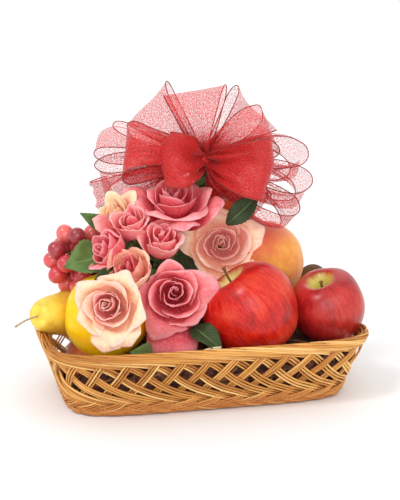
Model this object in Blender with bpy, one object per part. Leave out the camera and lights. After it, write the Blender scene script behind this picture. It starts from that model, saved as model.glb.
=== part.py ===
"""A fruit gift basket: an open-weave wicker tray with fruit bedded in packing, a bunch of fabric
roses held in flower foam, and a ribbon bow on a wooden stake. Metres, +Z up, the front towards -Y,
the origin at the middle of the tray's flat underside."""

from math import cos, hypot, pi, radians, sin

import bmesh
import bpy
from mathutils import Matrix, Vector, noise
from mathutils.bvhtree import BVHTree

MM = 0.001
GAP = 0.35 * MM  # left between two pieces that touch
FLAT = radians(1)  # faces closer to one plane than this become one face
LEAST_JOINED, LEAST_CUT = 0.95, 0.3  # shares of a piece's volume that a sound Boolean leaves

# Driving sizes of the tray
RIM_LONG, RIM_DEEP, RIM_HEIGHT = 300 * MM, 196 * MM, 63 * MM
BASE_LONG, BASE_DEEP = 256 * MM, 142 * MM
SQUARENESS = 5  # of the oblong: 2 is an ellipse, more is squarer
CANE = 2.2 * MM
FOOT_HEIGHT, RIM_BAND = 12 * MM, 12 * MM
FLOOR = 4 * MM
STRANDS = 36  # each way round the wall
STRAND_WIDTH = 7 * MM
OUTER_RUN, INNER_RUN = 1.7, -3.2  # spacings that a strand runs on between foot and rim
OUTER_FACE, INNER_FACE = -2.4 * MM, -5.3 * MM  # where each way's strands lie in the wall
MOST_BEND = radians(30)  # that one segment of a strand takes
SIDES = 28  # facets of the floor, the foot and the rim
WALL_AROUND = (RIM_LONG + BASE_LONG + RIM_DEEP + BASE_DEEP) * 0.96  # halfway up

# The posy and the bow face a little to the left of the tray's front
FRONT_YAW = radians(-13.5)
RIGHT = Vector((cos(FRONT_YAW), sin(FRONT_YAW), 0))
FRONT = Vector((sin(FRONT_YAW), -cos(FRONT_YAW), 0))
UP = Vector((0, 0, 1))

KNOT = Vector((10, 12, 213)) * MM
KNOT_RADIUS = 12 * MM
RIBBON_WIDTH = 56 * MM
RIBBON_THICK = 1.2 * MM
LOOP_ROWS = 5
LEAF_ROWS = 4

# Loops of ribbon: turn in the front view from the right, lean to the front, length, how far the
# two runs part, roll about the loop's own length (0 shows the ribbon's face), share of the width
LOOPS = {
    "top": (99, 4, 64, 18, 6, 1.04),
    "top_left": (138, -28, 80, 18, 0, 1.0),
    "top_right": (43, -30, 72, 18, 0, 0.95),
    "upper_right": (28, 4, 66, 20, -50, 0.9),
    "left": (171, 6, 74, 20, 38, 1.0),
    "far_left": (170, -20, 104, 13, 48, 0.65),
    "lower_left": (192, -8, 100, 14, -42, 0.7),
    "front_left": (174, 42, 46, 16, 0, 0.8),
    "front_right": (-4, 34, 68, 18, 0, 0.95),
    "far_right": (-3, -24, 98, 20, 58, 0.7),
    "lower_right": (-21, -8, 98, 18, 64, 0.7),
    "low_right": (-38, 0, 96, 16, 56, 0.65),
    "low_back": (-68, -25, 48, 13, 0, 0.7),
}
TAIL_LEFT = ((200, -14), 114, 0.5)
TAIL_RIGHT = ((-40, 8), 68, 0.5)

# Fruit: middle and radius, each in millimetres
FRONT_APPLE = (Vector((39, -47, 82)) * MM, 43 * MM)
RIGHT_APPLE = (Vector((115, -37, 78)) * MM, 34.5 * MM)
LOW_APPLE = (Vector((-99, 15, 28)) * MM, 24 * MM)
YELLOW_MANGO = (Vector((-89, -22, 80)) * MM, 38.5 * MM)
PEACH = (Vector((72, 39, 108)) * MM, 41.5 * MM)
ORANGE = (Vector((49, 73, 163)) * MM, 27 * MM)
KIWI = (Vector((123, 32, 76)) * MM, 19 * MM)
PEAR_BODY = (Vector((-99, 45, 67)) * MM, 25 * MM)
PEAR_TIP = Vector((-149, -7, 79)) * MM
PEAR_STALK = [(0, 0, 0), (-11, -4, -2), (-22, -7, -7)]  # steps from the tip

# Grapes: the bunch's middle and half sizes, and each berry
BUNCH = Vector((-106, 28, 121)) * MM
BUNCH_HALF = Vector((24, 17, 29)) * MM
GRAPE = 8.4 * MM
GRAPE_ROWS = 5

# A rose's section in shares of its radius and depth, and how far the petals scallop it: up the
# outside of the cup, down inside it and over the bud
CUP = [(0.14, -1.0, 0), (0.50, -0.93, 0), (0.80, -0.58, 0.03), (0.86, -0.22, 0.05)]
CUP += [(1.0, 0.0, 0.10), (0.56, -0.26, 0), (0.46, 0.02, 0), (0.16, 0.0, 0)]

# Roses: middle of the face, turn to the right and tilt up of the way it faces, radius, depth,
# outer petals and the first one's turn, then any longer petals as turn, length and drop
ROSES = {
    "rose_1_top": ((-21, -6, 185), (2, 64), 33, 32, 5, 90, (95, 42, 0.0), (355, 44, 0.2)),
    "rose_2_back_left": ((-78, 6, 170), (-30, 40), 18, 24, 4, 40),
    "rose_3_small": ((-66, -20, 170), (-12, 58), 17, 29, 4, 180, (175, 38, 0.3)),
    "rose_4_bud": ((-41, -35, 155), (2, 52), 19, 30, 4, 250),
    "rose_5_right": ((24, 2, 134), (4, 16), 36, 31, 5, 20, (212, 45, 0.3)),
    "rose_6_left": ((-95, -28, 143), (-50, 28), 19, 26, 4, 100),
    "rose_7_mid_left": ((-76, -53, 132), (-22, 40), 20, 27, 4, 330),
    "rose_8_front": ((-37, -64, 102), (4, 18), 31, 33, 5, 90, (270, 55, 0.5)),
    "rose_9_low_left": ((-96, -82, 101), (-12, 14), 28, 23, 5, 210),
}

# Leaves: foot, tip, greatest width, way the upper face looks
LEAVES = {
    "leaf_upper_right": ((24, -14, 156), (55, -10, 180), 20, (0.1, -0.9, 0.5)),
    "leaf_upper_left": ((-74, 21, 148), (-106, 16, 167), 16, (-0.3, -0.9, 0.3)),
    "leaf_left": ((-84, -8, 130), (-125, -16, 124), 34, (-0.3, -0.8, 0.5)),
    "leaf_low_left": ((-76, -32, 122), (-106, -44, 110), 16, (-0.2, -0.8, 0.6)),
    "leaf_middle": ((-54, -52, 49), (-79, -80, 61), 18, (0.0, -0.9, 0.4)),
    "leaf_front": ((-18, -50, 71), (4, -78, 54), 22, (0.1, -0.8, 0.5)),
    "leaf_back_1": ((-34, 46, 124), (-66, 78, 112), 30, (-0.1, 0.8, 0.6)),
    "leaf_back_2": ((-18, 60, 104), (-6, 88, 84), 28, (0.2, 0.9, 0.3)),
    "leaf_back_3": ((-56, 34, 122), (-86, 62, 122), 24, (-0.4, 0.7, 0.6)),
    "leaf_back_4": ((-14, 44, 118), (4, 76, 142), 26, (0.1, 0.9, 0.4)),
}
TISSUE = ((-10, -66, 46), (2, -80, 61), 14, (0.0, -0.9, 0.4))

# The packing's height, and the dome of flower foam that the roses are pushed into
BED_TOP = 46 * MM
BED_LEFT_END = -118 * MM
FOAM_MIDDLE = Vector((-30, 26, 40)) * MM
FOAM_HALF = Vector((52, 44, 96)) * MM

# The bow's stake, from behind the knot down into the foam, and the pick under the orange
STAKE = [Vector(place) * MM for place in ((14, 21, 209), (22, 28, 184), (20, 47, 150), (6, 49, 106))]
STAKE_RADII = [2.6 * MM, 2.8 * MM, 2.8 * MM, 2.4 * MM]
PICK = [Vector(place) * MM for place in ((49, 73, 143), (30, 62, 120), (4, 46, 84))]
PICK_RADIUS = 2.2 * MM
STICK_SIDES = 6

for leftover in list(bpy.data.objects):
    bpy.data.objects.remove(leftover)


def material(name, colour, roughness, metallic=0.0):
    made = bpy.data.materials.new(name)
    made.use_nodes = True
    shader = made.node_tree.nodes["Principled BSDF"]
    shader.inputs["Base Color"].default_value = (*colour, 1)
    shader.inputs["Roughness"].default_value = roughness
    shader.inputs["Metallic"].default_value = metallic
    return made


def add(name, bm, finish=None, smooth=False):
    """A new object from a bmesh, which it frees."""
    mesh = bpy.data.meshes.new(name)
    bm.to_mesh(mesh)
    bm.free()
    made = bpy.data.objects.new(name, mesh)
    bpy.context.scene.collection.objects.link(made)
    if finish:
        mesh.materials.append(finish)
    if smooth:
        mesh.shade_smooth()
    return made


def apply_modifiers(made):
    """The object's mesh as its modifiers leave it, with the modifiers gone."""
    graph = bpy.context.evaluated_depsgraph_get()
    mesh = bpy.data.meshes.new_from_object(made.evaluated_get(graph))
    made.modifiers.clear()
    old = made.data
    made.data = mesh
    bpy.data.meshes.remove(old)
    return made


def extent(points):
    return sum(max(p[k] for p in points) - min(p[k] for p in points) for k in range(3))


def keep_largest_body(made):
    """Drops loose scraps that a cut leaves behind."""
    bm = bmesh.new()
    bm.from_mesh(made.data)
    left, bodies = set(bm.verts), []
    while left:
        body, edge = set(), [left.pop()]
        while edge:
            vert = edge.pop()
            body.add(vert)
            near = {e.other_vert(vert) for e in vert.link_edges} & left
            left -= near
            edge.extend(near)
        bodies.append(body)
    bodies.sort(key=lambda body: extent([vert.co for vert in body]))
    loose = [vert for body in bodies[:-1] for vert in body]
    bmesh.ops.delete(bm, geom=loose, context="VERTS")
    bmesh.ops.dissolve_limit(bm, angle_limit=FLAT, verts=bm.verts, edges=bm.edges)
    bmesh.ops.triangulate(bm, faces=bm.faces)
    bm.to_mesh(made.data)
    bm.free()
    return made


def volume(made):
    bm = bmesh.new()
    bm.from_mesh(made.data)
    found = bm.calc_volume()
    bm.free()
    return found


def boolean(made, operation, least_kept, other=None, group=None):
    """Applies a Boolean, by the second solver where the first one loses most of the piece."""
    whole = made.data
    least = least_kept * volume(made)
    for solver in ("EXACT", "MANIFOLD"):
        made.data = whole.copy()
        step = made.modifiers.new("boolean", "BOOLEAN")
        step.operation = operation
        step.solver = solver
        step.operand_type = "COLLECTION" if group else "OBJECT"
        if group:
            step.collection = group
        else:
            step.object = other
        apply_modifiers(made)
        if volume(made) > least:
            break
    bpy.data.meshes.remove(whole)


def joined(name, pieces, finish, smooth=False):
    """One closed body from pieces that overlap, which are then removed."""
    first, rest = pieces[0], pieces[1:]
    apply_modifiers(first)
    group = bpy.data.collections.new(name)
    for piece in rest:
        group.objects.link(piece)
    boolean(first, "UNION", LEAST_JOINED, group=group)
    for piece in rest:
        bpy.data.objects.remove(piece)
    bpy.data.collections.remove(group)
    keep_largest_body(first)
    first.name = name
    first.data.materials.clear()
    first.data.materials.append(finish)
    if smooth:
        first.data.shade_smooth()
    return first


def enlarged(made):
    """The object's mesh, grown by the gap on every side."""
    bm = bmesh.new()
    bm.from_mesh(made.data)
    bm.normal_update()
    for vert in bm.verts:
        vert.co += vert.normal * GAP * min(vert.calc_shell_factor(), 2)
    return bm


def surface_tree(made):
    bm = bmesh.new()
    bm.from_mesh(made.data)
    tree = BVHTree.FromBMesh(bm)
    bm.free()
    return tree


def fitted(made, neighbours):
    """Cuts a soft piece back where it would run into pieces that are already there."""
    for neighbour in neighbours:
        grown = enlarged(neighbour)
        if not surface_tree(made).overlap(BVHTree.FromBMesh(grown)):
            grown.free()
            continue
        cutter = add("cutter", grown)
        boolean(made, "DIFFERENCE", LEAST_CUT, other=cutter)
        bpy.data.objects.remove(cutter)
    return keep_largest_body(made)


def closed_loft(rings):
    """A closed body through rings of points, each ring of one length, with flat ends."""
    bm = bmesh.new()
    rows = [[bm.verts.new(point) for point in ring] for ring in rings]
    count = len(rows[0])
    for low, high in zip(rows, rows[1:]):
        for k in range(count):
            after = (k + 1) % count
            bm.faces.new((low[k], low[after], high[after], high[k]))
    bm.faces.new(reversed(rows[0]))
    bm.faces.new(rows[-1])
    bmesh.ops.triangulate(bm, faces=bm.faces)
    if bm.calc_volume(signed=True) < 0:
        bmesh.ops.reverse_faces(bm, faces=bm.faces)
    return bm


def sheet(name, surface, rows, columns, thick):
    """A thin curved body whose middle is surface(u, v), u and v each from 0 to 1."""
    bm = bmesh.new()
    verts = [
        [bm.verts.new(surface(i / rows, j / columns)) for j in range(columns + 1)]
        for i in range(rows + 1)
    ]
    for i in range(rows):
        for j in range(columns):
            a, b = verts[i][j], verts[i + 1][j]
            c, d = verts[i + 1][j + 1], verts[i][j + 1]
            bm.faces.new((a, b, c))
            bm.faces.new((a, c, d))
    made = add(name, bm)
    walls = made.modifiers.new("thickness", "SOLIDIFY")
    walls.thickness = thick
    walls.offset = 0
    return made


def tube(name, path, radii, sides):
    """A tapered round body along a path of points."""
    rings = []
    across = (path[1] - path[0]).orthogonal()
    for k, point in enumerate(path):
        along = (path[min(k + 1, len(path) - 1)] - path[max(k - 1, 0)]).normalized()
        across = (across - along * across.dot(along)).normalized()
        other = along.cross(across)
        ring = [2 * pi * s / sides for s in range(sides)]
        rings.append([point + (across * cos(a) + other * sin(a)) * radii[k] for a in ring])
    return add(name, closed_loft(rings))


def smooth_step(x):
    x = min(max(x, 0.0), 1.0)
    return x * x * (3 - 2 * x)


# The wicker tray


def oblong(half_long, half_deep, turn):
    """A point of a rounded oblong, seen from above, in the direction of turn."""
    c, s = cos(turn), sin(turn)
    reach = (abs(c) ** SQUARENESS + abs(s) ** SQUARENESS) ** (-1 / SQUARENESS)
    return Vector((half_long * c * reach, half_deep * s * reach, 0))


def even_turns(count):
    """Turns that part the wall's middle into steps of one length."""
    fine = 720
    points = [
        oblong((RIM_LONG + BASE_LONG) / 4, (RIM_DEEP + BASE_DEEP) / 4, 2 * pi * k / fine)
        for k in range(fine + 1)
    ]
    lengths = [0.0]
    for one, after in zip(points, points[1:]):
        lengths.append(lengths[-1] + (after - one).length)
    turns = []
    k = 0
    for n in range(count):
        wanted = lengths[-1] * n / count
        while lengths[k + 1] < wanted:
            k += 1
        share = (wanted - lengths[k]) / (lengths[k + 1] - lengths[k])
        turns.append(2 * pi * (k + share) / fine)
    return turns


FINE_STEPS = 360
FINE_TURNS = even_turns(FINE_STEPS)


def wall_point(around, height, outward=0.0):
    """The wall's outside at a share of the way round and a height, moved outward."""
    place = (around % 1.0) * FINE_STEPS
    k = int(place) % FINE_STEPS
    after = FINE_TURNS[k + 1] if k + 1 < FINE_STEPS else 2 * pi
    turn = FINE_TURNS[k] + (after - FINE_TURNS[k]) * (place - int(place))
    share = height / RIM_HEIGHT
    half_long = (BASE_LONG + (RIM_LONG - BASE_LONG) * share) / 2
    half_deep = (BASE_DEEP + (RIM_DEEP - BASE_DEEP) * share) / 2
    here = oblong(half_long, half_deep, turn)
    ahead = oblong(half_long, half_deep, turn + 0.01) - oblong(half_long, half_deep, turn - 0.01)
    normal = Vector((ahead.y, -ahead.x, 0)).normalized()
    return here + normal * outward + UP * height


def ring_shares(count):
    """Shares of the way round for a ring's facets, closer together at the corners."""
    points = [wall_point(k / FINE_STEPS, 0.0) for k in range(FINE_STEPS)]
    steps = [points[k] - points[k - 1] for k in range(FINE_STEPS)]
    done = [0.0]
    for k in range(FINE_STEPS):
        bend = steps[k].angle(steps[k - 1])
        done.append(done[-1] + 0.5 / FINE_STEPS + 0.5 * bend / (2 * pi))
    shares = []
    k = 0
    for n in range(count):
        while done[k + 1] <= n / count:
            k += 1
        shares.append(k / FINE_STEPS)
    return shares


def rings_round(outline, sides):
    """Rings of points round the tray, one for each (outward, height) of the outline."""
    shares = ring_shares(sides)
    return [[wall_point(share, height * MM, out * MM) for share in shares] for out, height in outline]


def rim_band(outline):
    """The rim, whose section is a list of (outward, height)."""
    bm = bmesh.new()
    rings = [[bm.verts.new(point) for point in ring] for ring in rings_round(outline, SIDES)]
    for ring, after in zip(rings, rings[1:] + rings[:1]):
        for k in range(SIDES):
            n = (k + 1) % SIDES
            bm.faces.new((ring[k], ring[n], after[n], after[k]))
    if bm.calc_volume(signed=True) < 0:
        bmesh.ops.reverse_faces(bm, faces=bm.faces)
    return add("rim", bm)


def way_ahead(around):
    """The direction round the wall at a share of the way."""
    return wall_point(around + 0.003, 0.0) - wall_point(around - 0.003, 0.0)


def strand(start, run, outward):
    """One flat group of canes, aslant from the foot to the rim, in more segments at a corner."""
    low, high = FOOT_HEIGHT - 3 * MM, RIM_HEIGHT - RIM_BAND + 4 * MM
    slope = hypot(run * WALL_AROUND, high - low)
    bend = way_ahead(start).angle(way_ahead(start + run))
    segments = 1 + round(bend / MOST_BEND)

    def surface(u, v):
        across = (v - 0.5) * STRAND_WIDTH
        side = across * (high - low) / slope / WALL_AROUND
        rise = -across * (run * WALL_AROUND) / slope
        return wall_point(start + run * u + side, low + (high - low) * u + rise, outward)

    return sheet("strand", surface, segments, 1, CANE)


def basket(finish):
    """Floor, foot, rim and both ways of strands. The outer strands cross the inner ones with a
    hair's breadth between them, and the foot and the rim bind them all."""
    top, foot, floor = RIM_HEIGHT / MM, FOOT_HEIGHT / MM, FLOOR / MM
    low = top - RIM_BAND / MM
    tray = [(-1, 0), (0.8, foot / 2), (-0.6, foot), (-8, foot), (-8, floor)]
    rim = [(-8, low), (-0.4, low), (0.8, low + 5), (-1.5, top), (-6.5, top), (-8.5, low + 6)]
    pieces = [add("floor", closed_loft(rings_round(tray, SIDES))), rim_band(rim)]
    for k in range(STRANDS):
        for run, outward in ((OUTER_RUN, OUTER_FACE), (INNER_RUN, INNER_FACE)):
            pieces.append(strand(k / STRANDS, run / STRANDS, outward))
    return joined("basket", pieces, finish)


# Fruit


def turned_fruit(name, profile, sides, place, axis, lobes=0, lobe_depth=0.0, spin=0.0):
    """A fruit turned about its own axis from (radius, height) pairs, with lobes round its top."""
    turn = UP.rotation_difference(axis.normalized()).to_matrix()
    rings = []
    tallest = max(height for _, height in profile)
    for radius, height in profile:
        share = smooth_step(0.5 + 0.5 * height / tallest)
        ring = []
        for k in range(sides):
            angle = 2 * pi * k / sides + spin
            reach = radius * (1 + lobe_depth * share * cos(lobes * angle))
            ring.append(place + turn @ Vector((reach * cos(angle), reach * sin(angle), height)))
        rings.append(ring)
    return add(name, closed_loft(rings))


def apple_profile(radius, tall):
    """The half outline of an apple, from its underside's hollow to the stalk's hollow."""
    half = tall / 2
    outline = [(0.10, -0.72), (0.34, -0.95), (0.66, -0.80), (0.90, -0.38), (1.0, 0.10)]
    outline += [(0.93, 0.55), (0.72, 0.88), (0.42, 1.0), (0.20, 0.86), (0.06, 0.62)]
    return [(r * radius, z * half) for r, z in outline]


def apple(name, fruit, tall, axis, spin, stalk_long, skin, sides=16):
    place, radius = fruit
    axis = Vector(axis).normalized()
    body = turned_fruit(name, apple_profile(radius, tall), sides, place, axis, 5, 0.025, spin)
    foot = place + axis * (tall * 0.26)
    bend = Vector((0.25, 0, 0.1))
    steps = [0.0, 0.4, 0.75, 1.0]
    path = [foot + (axis + bend * s * s) * stalk_long * s for s in steps]
    stalk = tube("stalk", path, [1.5 * MM, 1.1 * MM, 1.1 * MM, 1.7 * MM], 6)
    return joined(name, [body, stalk], skin, True)


def round_fruit(name, place, axis, half, tall_half, skin, top_pull=0.0, bottom_pull=0.0, sides=14):
    """A plain round or oval fruit; a pull makes one end fuller or narrower."""
    profile = []
    rows = 8
    for k in range(rows + 1):
        angle = pi * (k + 0.25) / (rows + 0.5) - pi / 2
        height = sin(angle)
        pull = 1 + (top_pull if height > 0 else bottom_pull) * abs(height) * (1 - abs(height)) * 2
        profile.append((half * cos(angle) * pull, tall_half * height))
    made = turned_fruit(name, profile, sides, place, Vector(axis))
    made.data.materials.append(skin)
    made.data.shade_smooth()
    return made


def pear(skin):
    """A pear on its side, its neck over the rim, with a long thin stalk."""
    body, radius = PEAR_BODY
    axis = PEAR_TIP - body
    length = axis.length
    outline = [(0.30, -1.0), (0.72, -0.78), (0.97, -0.25), (1.0, 0.15)]
    profile = [(r * radius, z * radius) for r, z in outline]
    neck = [(0.93, 0.30), (0.80, 0.50), (0.72, 0.70), (0.62, 0.86), (0.42, 0.97), (0.12, 1.0)]
    profile += [(r * radius, z * length) for r, z in neck]
    fruit = turned_fruit("pear", profile, 14, body, axis)
    tip = PEAR_TIP - axis.normalized() * 2 * MM
    path = [tip + Vector(step) * MM for step in PEAR_STALK]
    stalk = tube("stalk", path, [1.3 * MM, 0.8 * MM, 0.9 * MM], 6)
    return joined("pear", [fruit, stalk], skin, True)


def grapes(skin):
    """A bunch: a small core with berries in rows all round it."""
    core = bmesh.new()
    bmesh.ops.create_icosphere(core, subdivisions=1, radius=1)
    size = Matrix.Diagonal((*(BUNCH_HALF * 0.8), 1))
    bmesh.ops.transform(core, matrix=Matrix.Translation(BUNCH) @ size, verts=core.verts)
    pieces = [add("core", core)]
    for row in range(GRAPE_ROWS):
        lift = (row + 0.5) / GRAPE_ROWS * 2 - 1
        ring = (1 - lift * lift) ** 0.5
        berries = max(3, round(5 * ring))
        for k in range(berries):
            angle = 2 * pi * (k + 0.5 * (row % 2)) / berries + 0.35
            way = Vector((ring * cos(angle), ring * sin(angle), lift))
            place = BUNCH + Vector(a * b for a, b in zip(way, BUNCH_HALF))
            grape = bmesh.new()
            bmesh.ops.create_icosphere(grape, subdivisions=1, radius=GRAPE)
            bmesh.ops.translate(grape, vec=place, verts=grape.verts)
            pieces.append(add("grape", grape))
    return joined("grapes", pieces, skin, True)


# Roses and leaves


def facing(turn, tilt):
    """The way a flower faces: turned to the right of the posy's front, and tilted up."""
    turn, tilt = radians(turn), radians(tilt)
    return (FRONT * cos(turn) + RIGHT * sin(turn)) * cos(tilt) + UP * sin(tilt)


def bezier(points, t):
    a, b, c, d = points
    s = 1 - t
    return a * s**3 + b * 3 * s * s * t + c * 3 * s * t * t + d * t**3


def long_petal(length, depth, turn, drop, frame):
    """An outer petal that reaches past the cup and falls open."""
    outline = [
        Vector((0.05 * length, -0.9 * depth)),
        Vector((0.45 * length, -1.0 * depth)),
        Vector((0.75 * length, (0.1 - drop * 0.4) * depth)),
        Vector((length, (0.1 - drop) * depth)),
    ]

    def surface(u, v):
        across = 2 * v - 1
        here = bezier(outline, u * (1 - 0.12 * across**2))
        half = length * 0.42 * sin(pi * min(0.08 + u * 0.80, 0.82)) * across
        spot = Vector((here.x * cos(turn), here.x * sin(turn), here.y - abs(half) * 0.2))
        return frame @ (spot + Vector((-sin(turn), cos(turn), 0)) * half)

    return sheet("petal", surface, 3, 2, 1.6 * MM)


def rose(name, spec, finish):
    """A rose: a scalloped cup of petals round a bud, in one shell, with a stem into the foam."""
    middle, (turn, tilt), radius, depth, petals, first = spec[:6]
    radius, depth = radius * MM, depth * MM
    way = facing(turn, tilt)
    side = UP.cross(way).normalized()
    frame = Matrix.Translation(Vector(middle) * MM) @ Matrix(
        (side, way.cross(side), way)
    ).transposed().to_4x4()
    sides = 3 * petals
    rings = []
    for reach, height, scallop in CUP:
        ring = []
        for k in range(sides):
            angle = radians(first) + 2 * pi * k / sides
            lobe = scallop * cos(petals * (angle - radians(first)))
            r = radius * reach * (1 + lobe)
            ring.append(frame @ Vector((r * cos(angle), r * sin(angle), depth * (height + lobe))))
        rings.append(ring)
    pieces = [add("cup", closed_loft(rings))]
    for turn_of_petal, length, drop in spec[6:]:
        pieces.append(long_petal(length * MM, depth, radians(turn_of_petal), drop, frame))
    back = frame @ Vector((0, 0, -depth * 0.98))
    out = Vector((back.x - FOAM_MIDDLE.x, back.y - FOAM_MIDDLE.y, 0)).normalized()
    foot = FOAM_MIDDLE + out * 20 * MM
    foot.z = min(back.z - 4 * MM, FOAM_MIDDLE.z + 80 * MM)
    bend = back - way * 9 * MM + (foot - back) * 0.15
    path = [back + way * 2 * MM, back - way * 4 * MM, bend, foot]
    pieces.append(tube("stem", path, [3.2 * MM, 2.6 * MM, 2.4 * MM, 2.0 * MM], 5))
    return joined(name, pieces, finish)


def leaf(name, spec, thick=1.2 * MM):
    """A pointed leaf that waves along its length and folds up along its middle rib."""
    foot, tip, width, up = spec
    foot, tip, width = Vector(foot) * MM, Vector(tip) * MM, width * MM
    along = tip - foot
    up = Vector(up).normalized()
    side = along.cross(up).normalized()
    up = side.cross(along).normalized()

    def surface(u, v):
        half = width * 0.5 * max(sin(pi * (0.06 + 0.90 * u) ** 0.85), 0.06)
        across = 2 * v - 1
        lift = along.length * (0.16 * sin(pi * u)) + half * 0.30 * abs(across)
        wave = half * 0.14 * sin(9 * u + 2 * across)
        return foot + along * u + side * half * across + up * (lift + wave)

    return sheet(name, surface, LEAF_ROWS, 2, thick)


# The bow


def loop_axes(turn, lean, roll):
    """Unit vectors along a loop, across its hollow, and across its ribbon."""
    turn, lean, roll = radians(turn), radians(lean), radians(roll)
    flat = RIGHT * cos(turn) + UP * sin(turn)
    along = flat * cos(lean) + FRONT * sin(lean)
    hollow = (FRONT * cos(lean) - flat * sin(lean)).normalized()
    ribbon = along.cross(hollow)
    turned = Matrix.Rotation(roll, 3, along)
    return along, turned @ hollow, turned @ ribbon


def ribbon_loop(spec):
    """A loop that leaves the knot pinched, opens out and comes back."""
    turn, lean, length, part, roll, share = spec
    along, hollow, ribbon = loop_axes(turn, lean, roll)

    def surface(u, v):
        open_out = sin(pi * u)
        reach = length * MM * open_out**1.35
        away = part * MM * sin(2 * pi * u) * (0.35 + 0.65 * open_out)
        half = RIBBON_WIDTH / 2 * share * (0.10 + 0.90 * open_out**1.4)
        return KNOT + along * reach + hollow * away + ribbon * half * (2 * v - 1)

    return sheet("loop", surface, LOOP_ROWS, 1, RIBBON_THICK)


def ribbon_tail(spec):
    (turn, lean), length, share = spec
    along, hollow, ribbon = loop_axes(turn, lean, 10)

    def surface(u, v):
        half = RIBBON_WIDTH / 2 * share * (0.16 + 0.84 * sin(pi / 2 * min(1, u * 1.3)))
        curl = 9 * MM * sin(2.2 * pi * u)
        return KNOT + along * length * MM * u + hollow * curl + ribbon * half * (2 * v - 1)

    return sheet("tail", surface, 4, 1, RIBBON_THICK)


def bow(finish):
    """Thirteen loops and two tails of one ribbon, gathered at the knot."""
    knot = bmesh.new()
    bmesh.ops.create_icosphere(knot, subdivisions=2, radius=KNOT_RADIUS)
    bmesh.ops.translate(knot, vec=KNOT, verts=knot.verts)
    pieces = [add("knot", knot)]
    pieces += [ribbon_loop(spec) for spec in LOOPS.values()]
    pieces += [ribbon_tail(TAIL_LEFT), ribbon_tail(TAIL_RIGHT)]
    return joined("bow", pieces, finish)


def stick(name, path, radii, finish):
    """A thin wooden stick whose foot is in the foam."""
    made = tube(name, path, radii, STICK_SIDES)
    made.data.materials.append(finish)
    made.data.shade_smooth()
    return made


# Packing and foam


def bed_share(x):
    """How much of its full height the packing has, less towards the left end."""
    return 1 - 0.72 * smooth_step((BED_LEFT_END + 45 * MM - x) / (55 * MM))


def packing_bed(finish):
    """Shredded packing that fills the tray round the fruit, lower at the left end."""
    bm = bmesh.new()
    sides, rings = 18, 2
    inside = 10 * MM
    places = ring_shares(sides)
    low = [bm.verts.new(wall_point(place, FLOOR + GAP, -inside)) for place in places]
    previous = low
    bm.faces.new(reversed(low))
    for ring in range(rings):
        share = 1 - ring / rings
        row = []
        for k in range(sides):
            wide = wall_point(places[k], BED_TOP, -inside)
            edge = wall_point(places[k], BED_TOP * bed_share(wide.x), -inside - 1 * MM)
            x, y = edge.x * share, edge.y * share
            uneven = 3 * MM * noise.noise(Vector((x, y, 0)) * 45)
            mound = (1 - share) * 14 * MM
            row.append(bm.verts.new((x, y, (BED_TOP + mound + uneven) * bed_share(x))))
        for k in range(sides):
            after = (k + 1) % sides
            bm.faces.new((previous[k], previous[after], row[after], row[k]))
        previous = row
    bm.faces.new(previous)
    bmesh.ops.recalc_face_normals(bm, faces=bm.faces)
    bmesh.ops.triangulate(bm, faces=bm.faces)
    return add("packing_bed", bm, finish)


def flower_foam(finish):
    """A rounded block of foam, standing in the packing."""
    rings = []
    sides, steps, roundness = 14, 4, 2.6
    for k in range(steps + 1):
        height = k / steps * 0.985
        reach = (1 - height**roundness) ** (1 / roundness)
        ring = []
        for n in range(sides):
            turn = 2 * pi * n / sides
            uneven = 1 + 0.05 * noise.noise(Vector((cos(turn), sin(turn), height)) * 3)
            flat = Vector((FOAM_HALF.x * cos(turn), FOAM_HALF.y * sin(turn), 0)) * reach * uneven
            ring.append(FOAM_MIDDLE + flat + UP * FOAM_HALF.z * height)
        rings.append(ring)
    return add("flower_foam", closed_loft(rings), finish)


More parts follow.
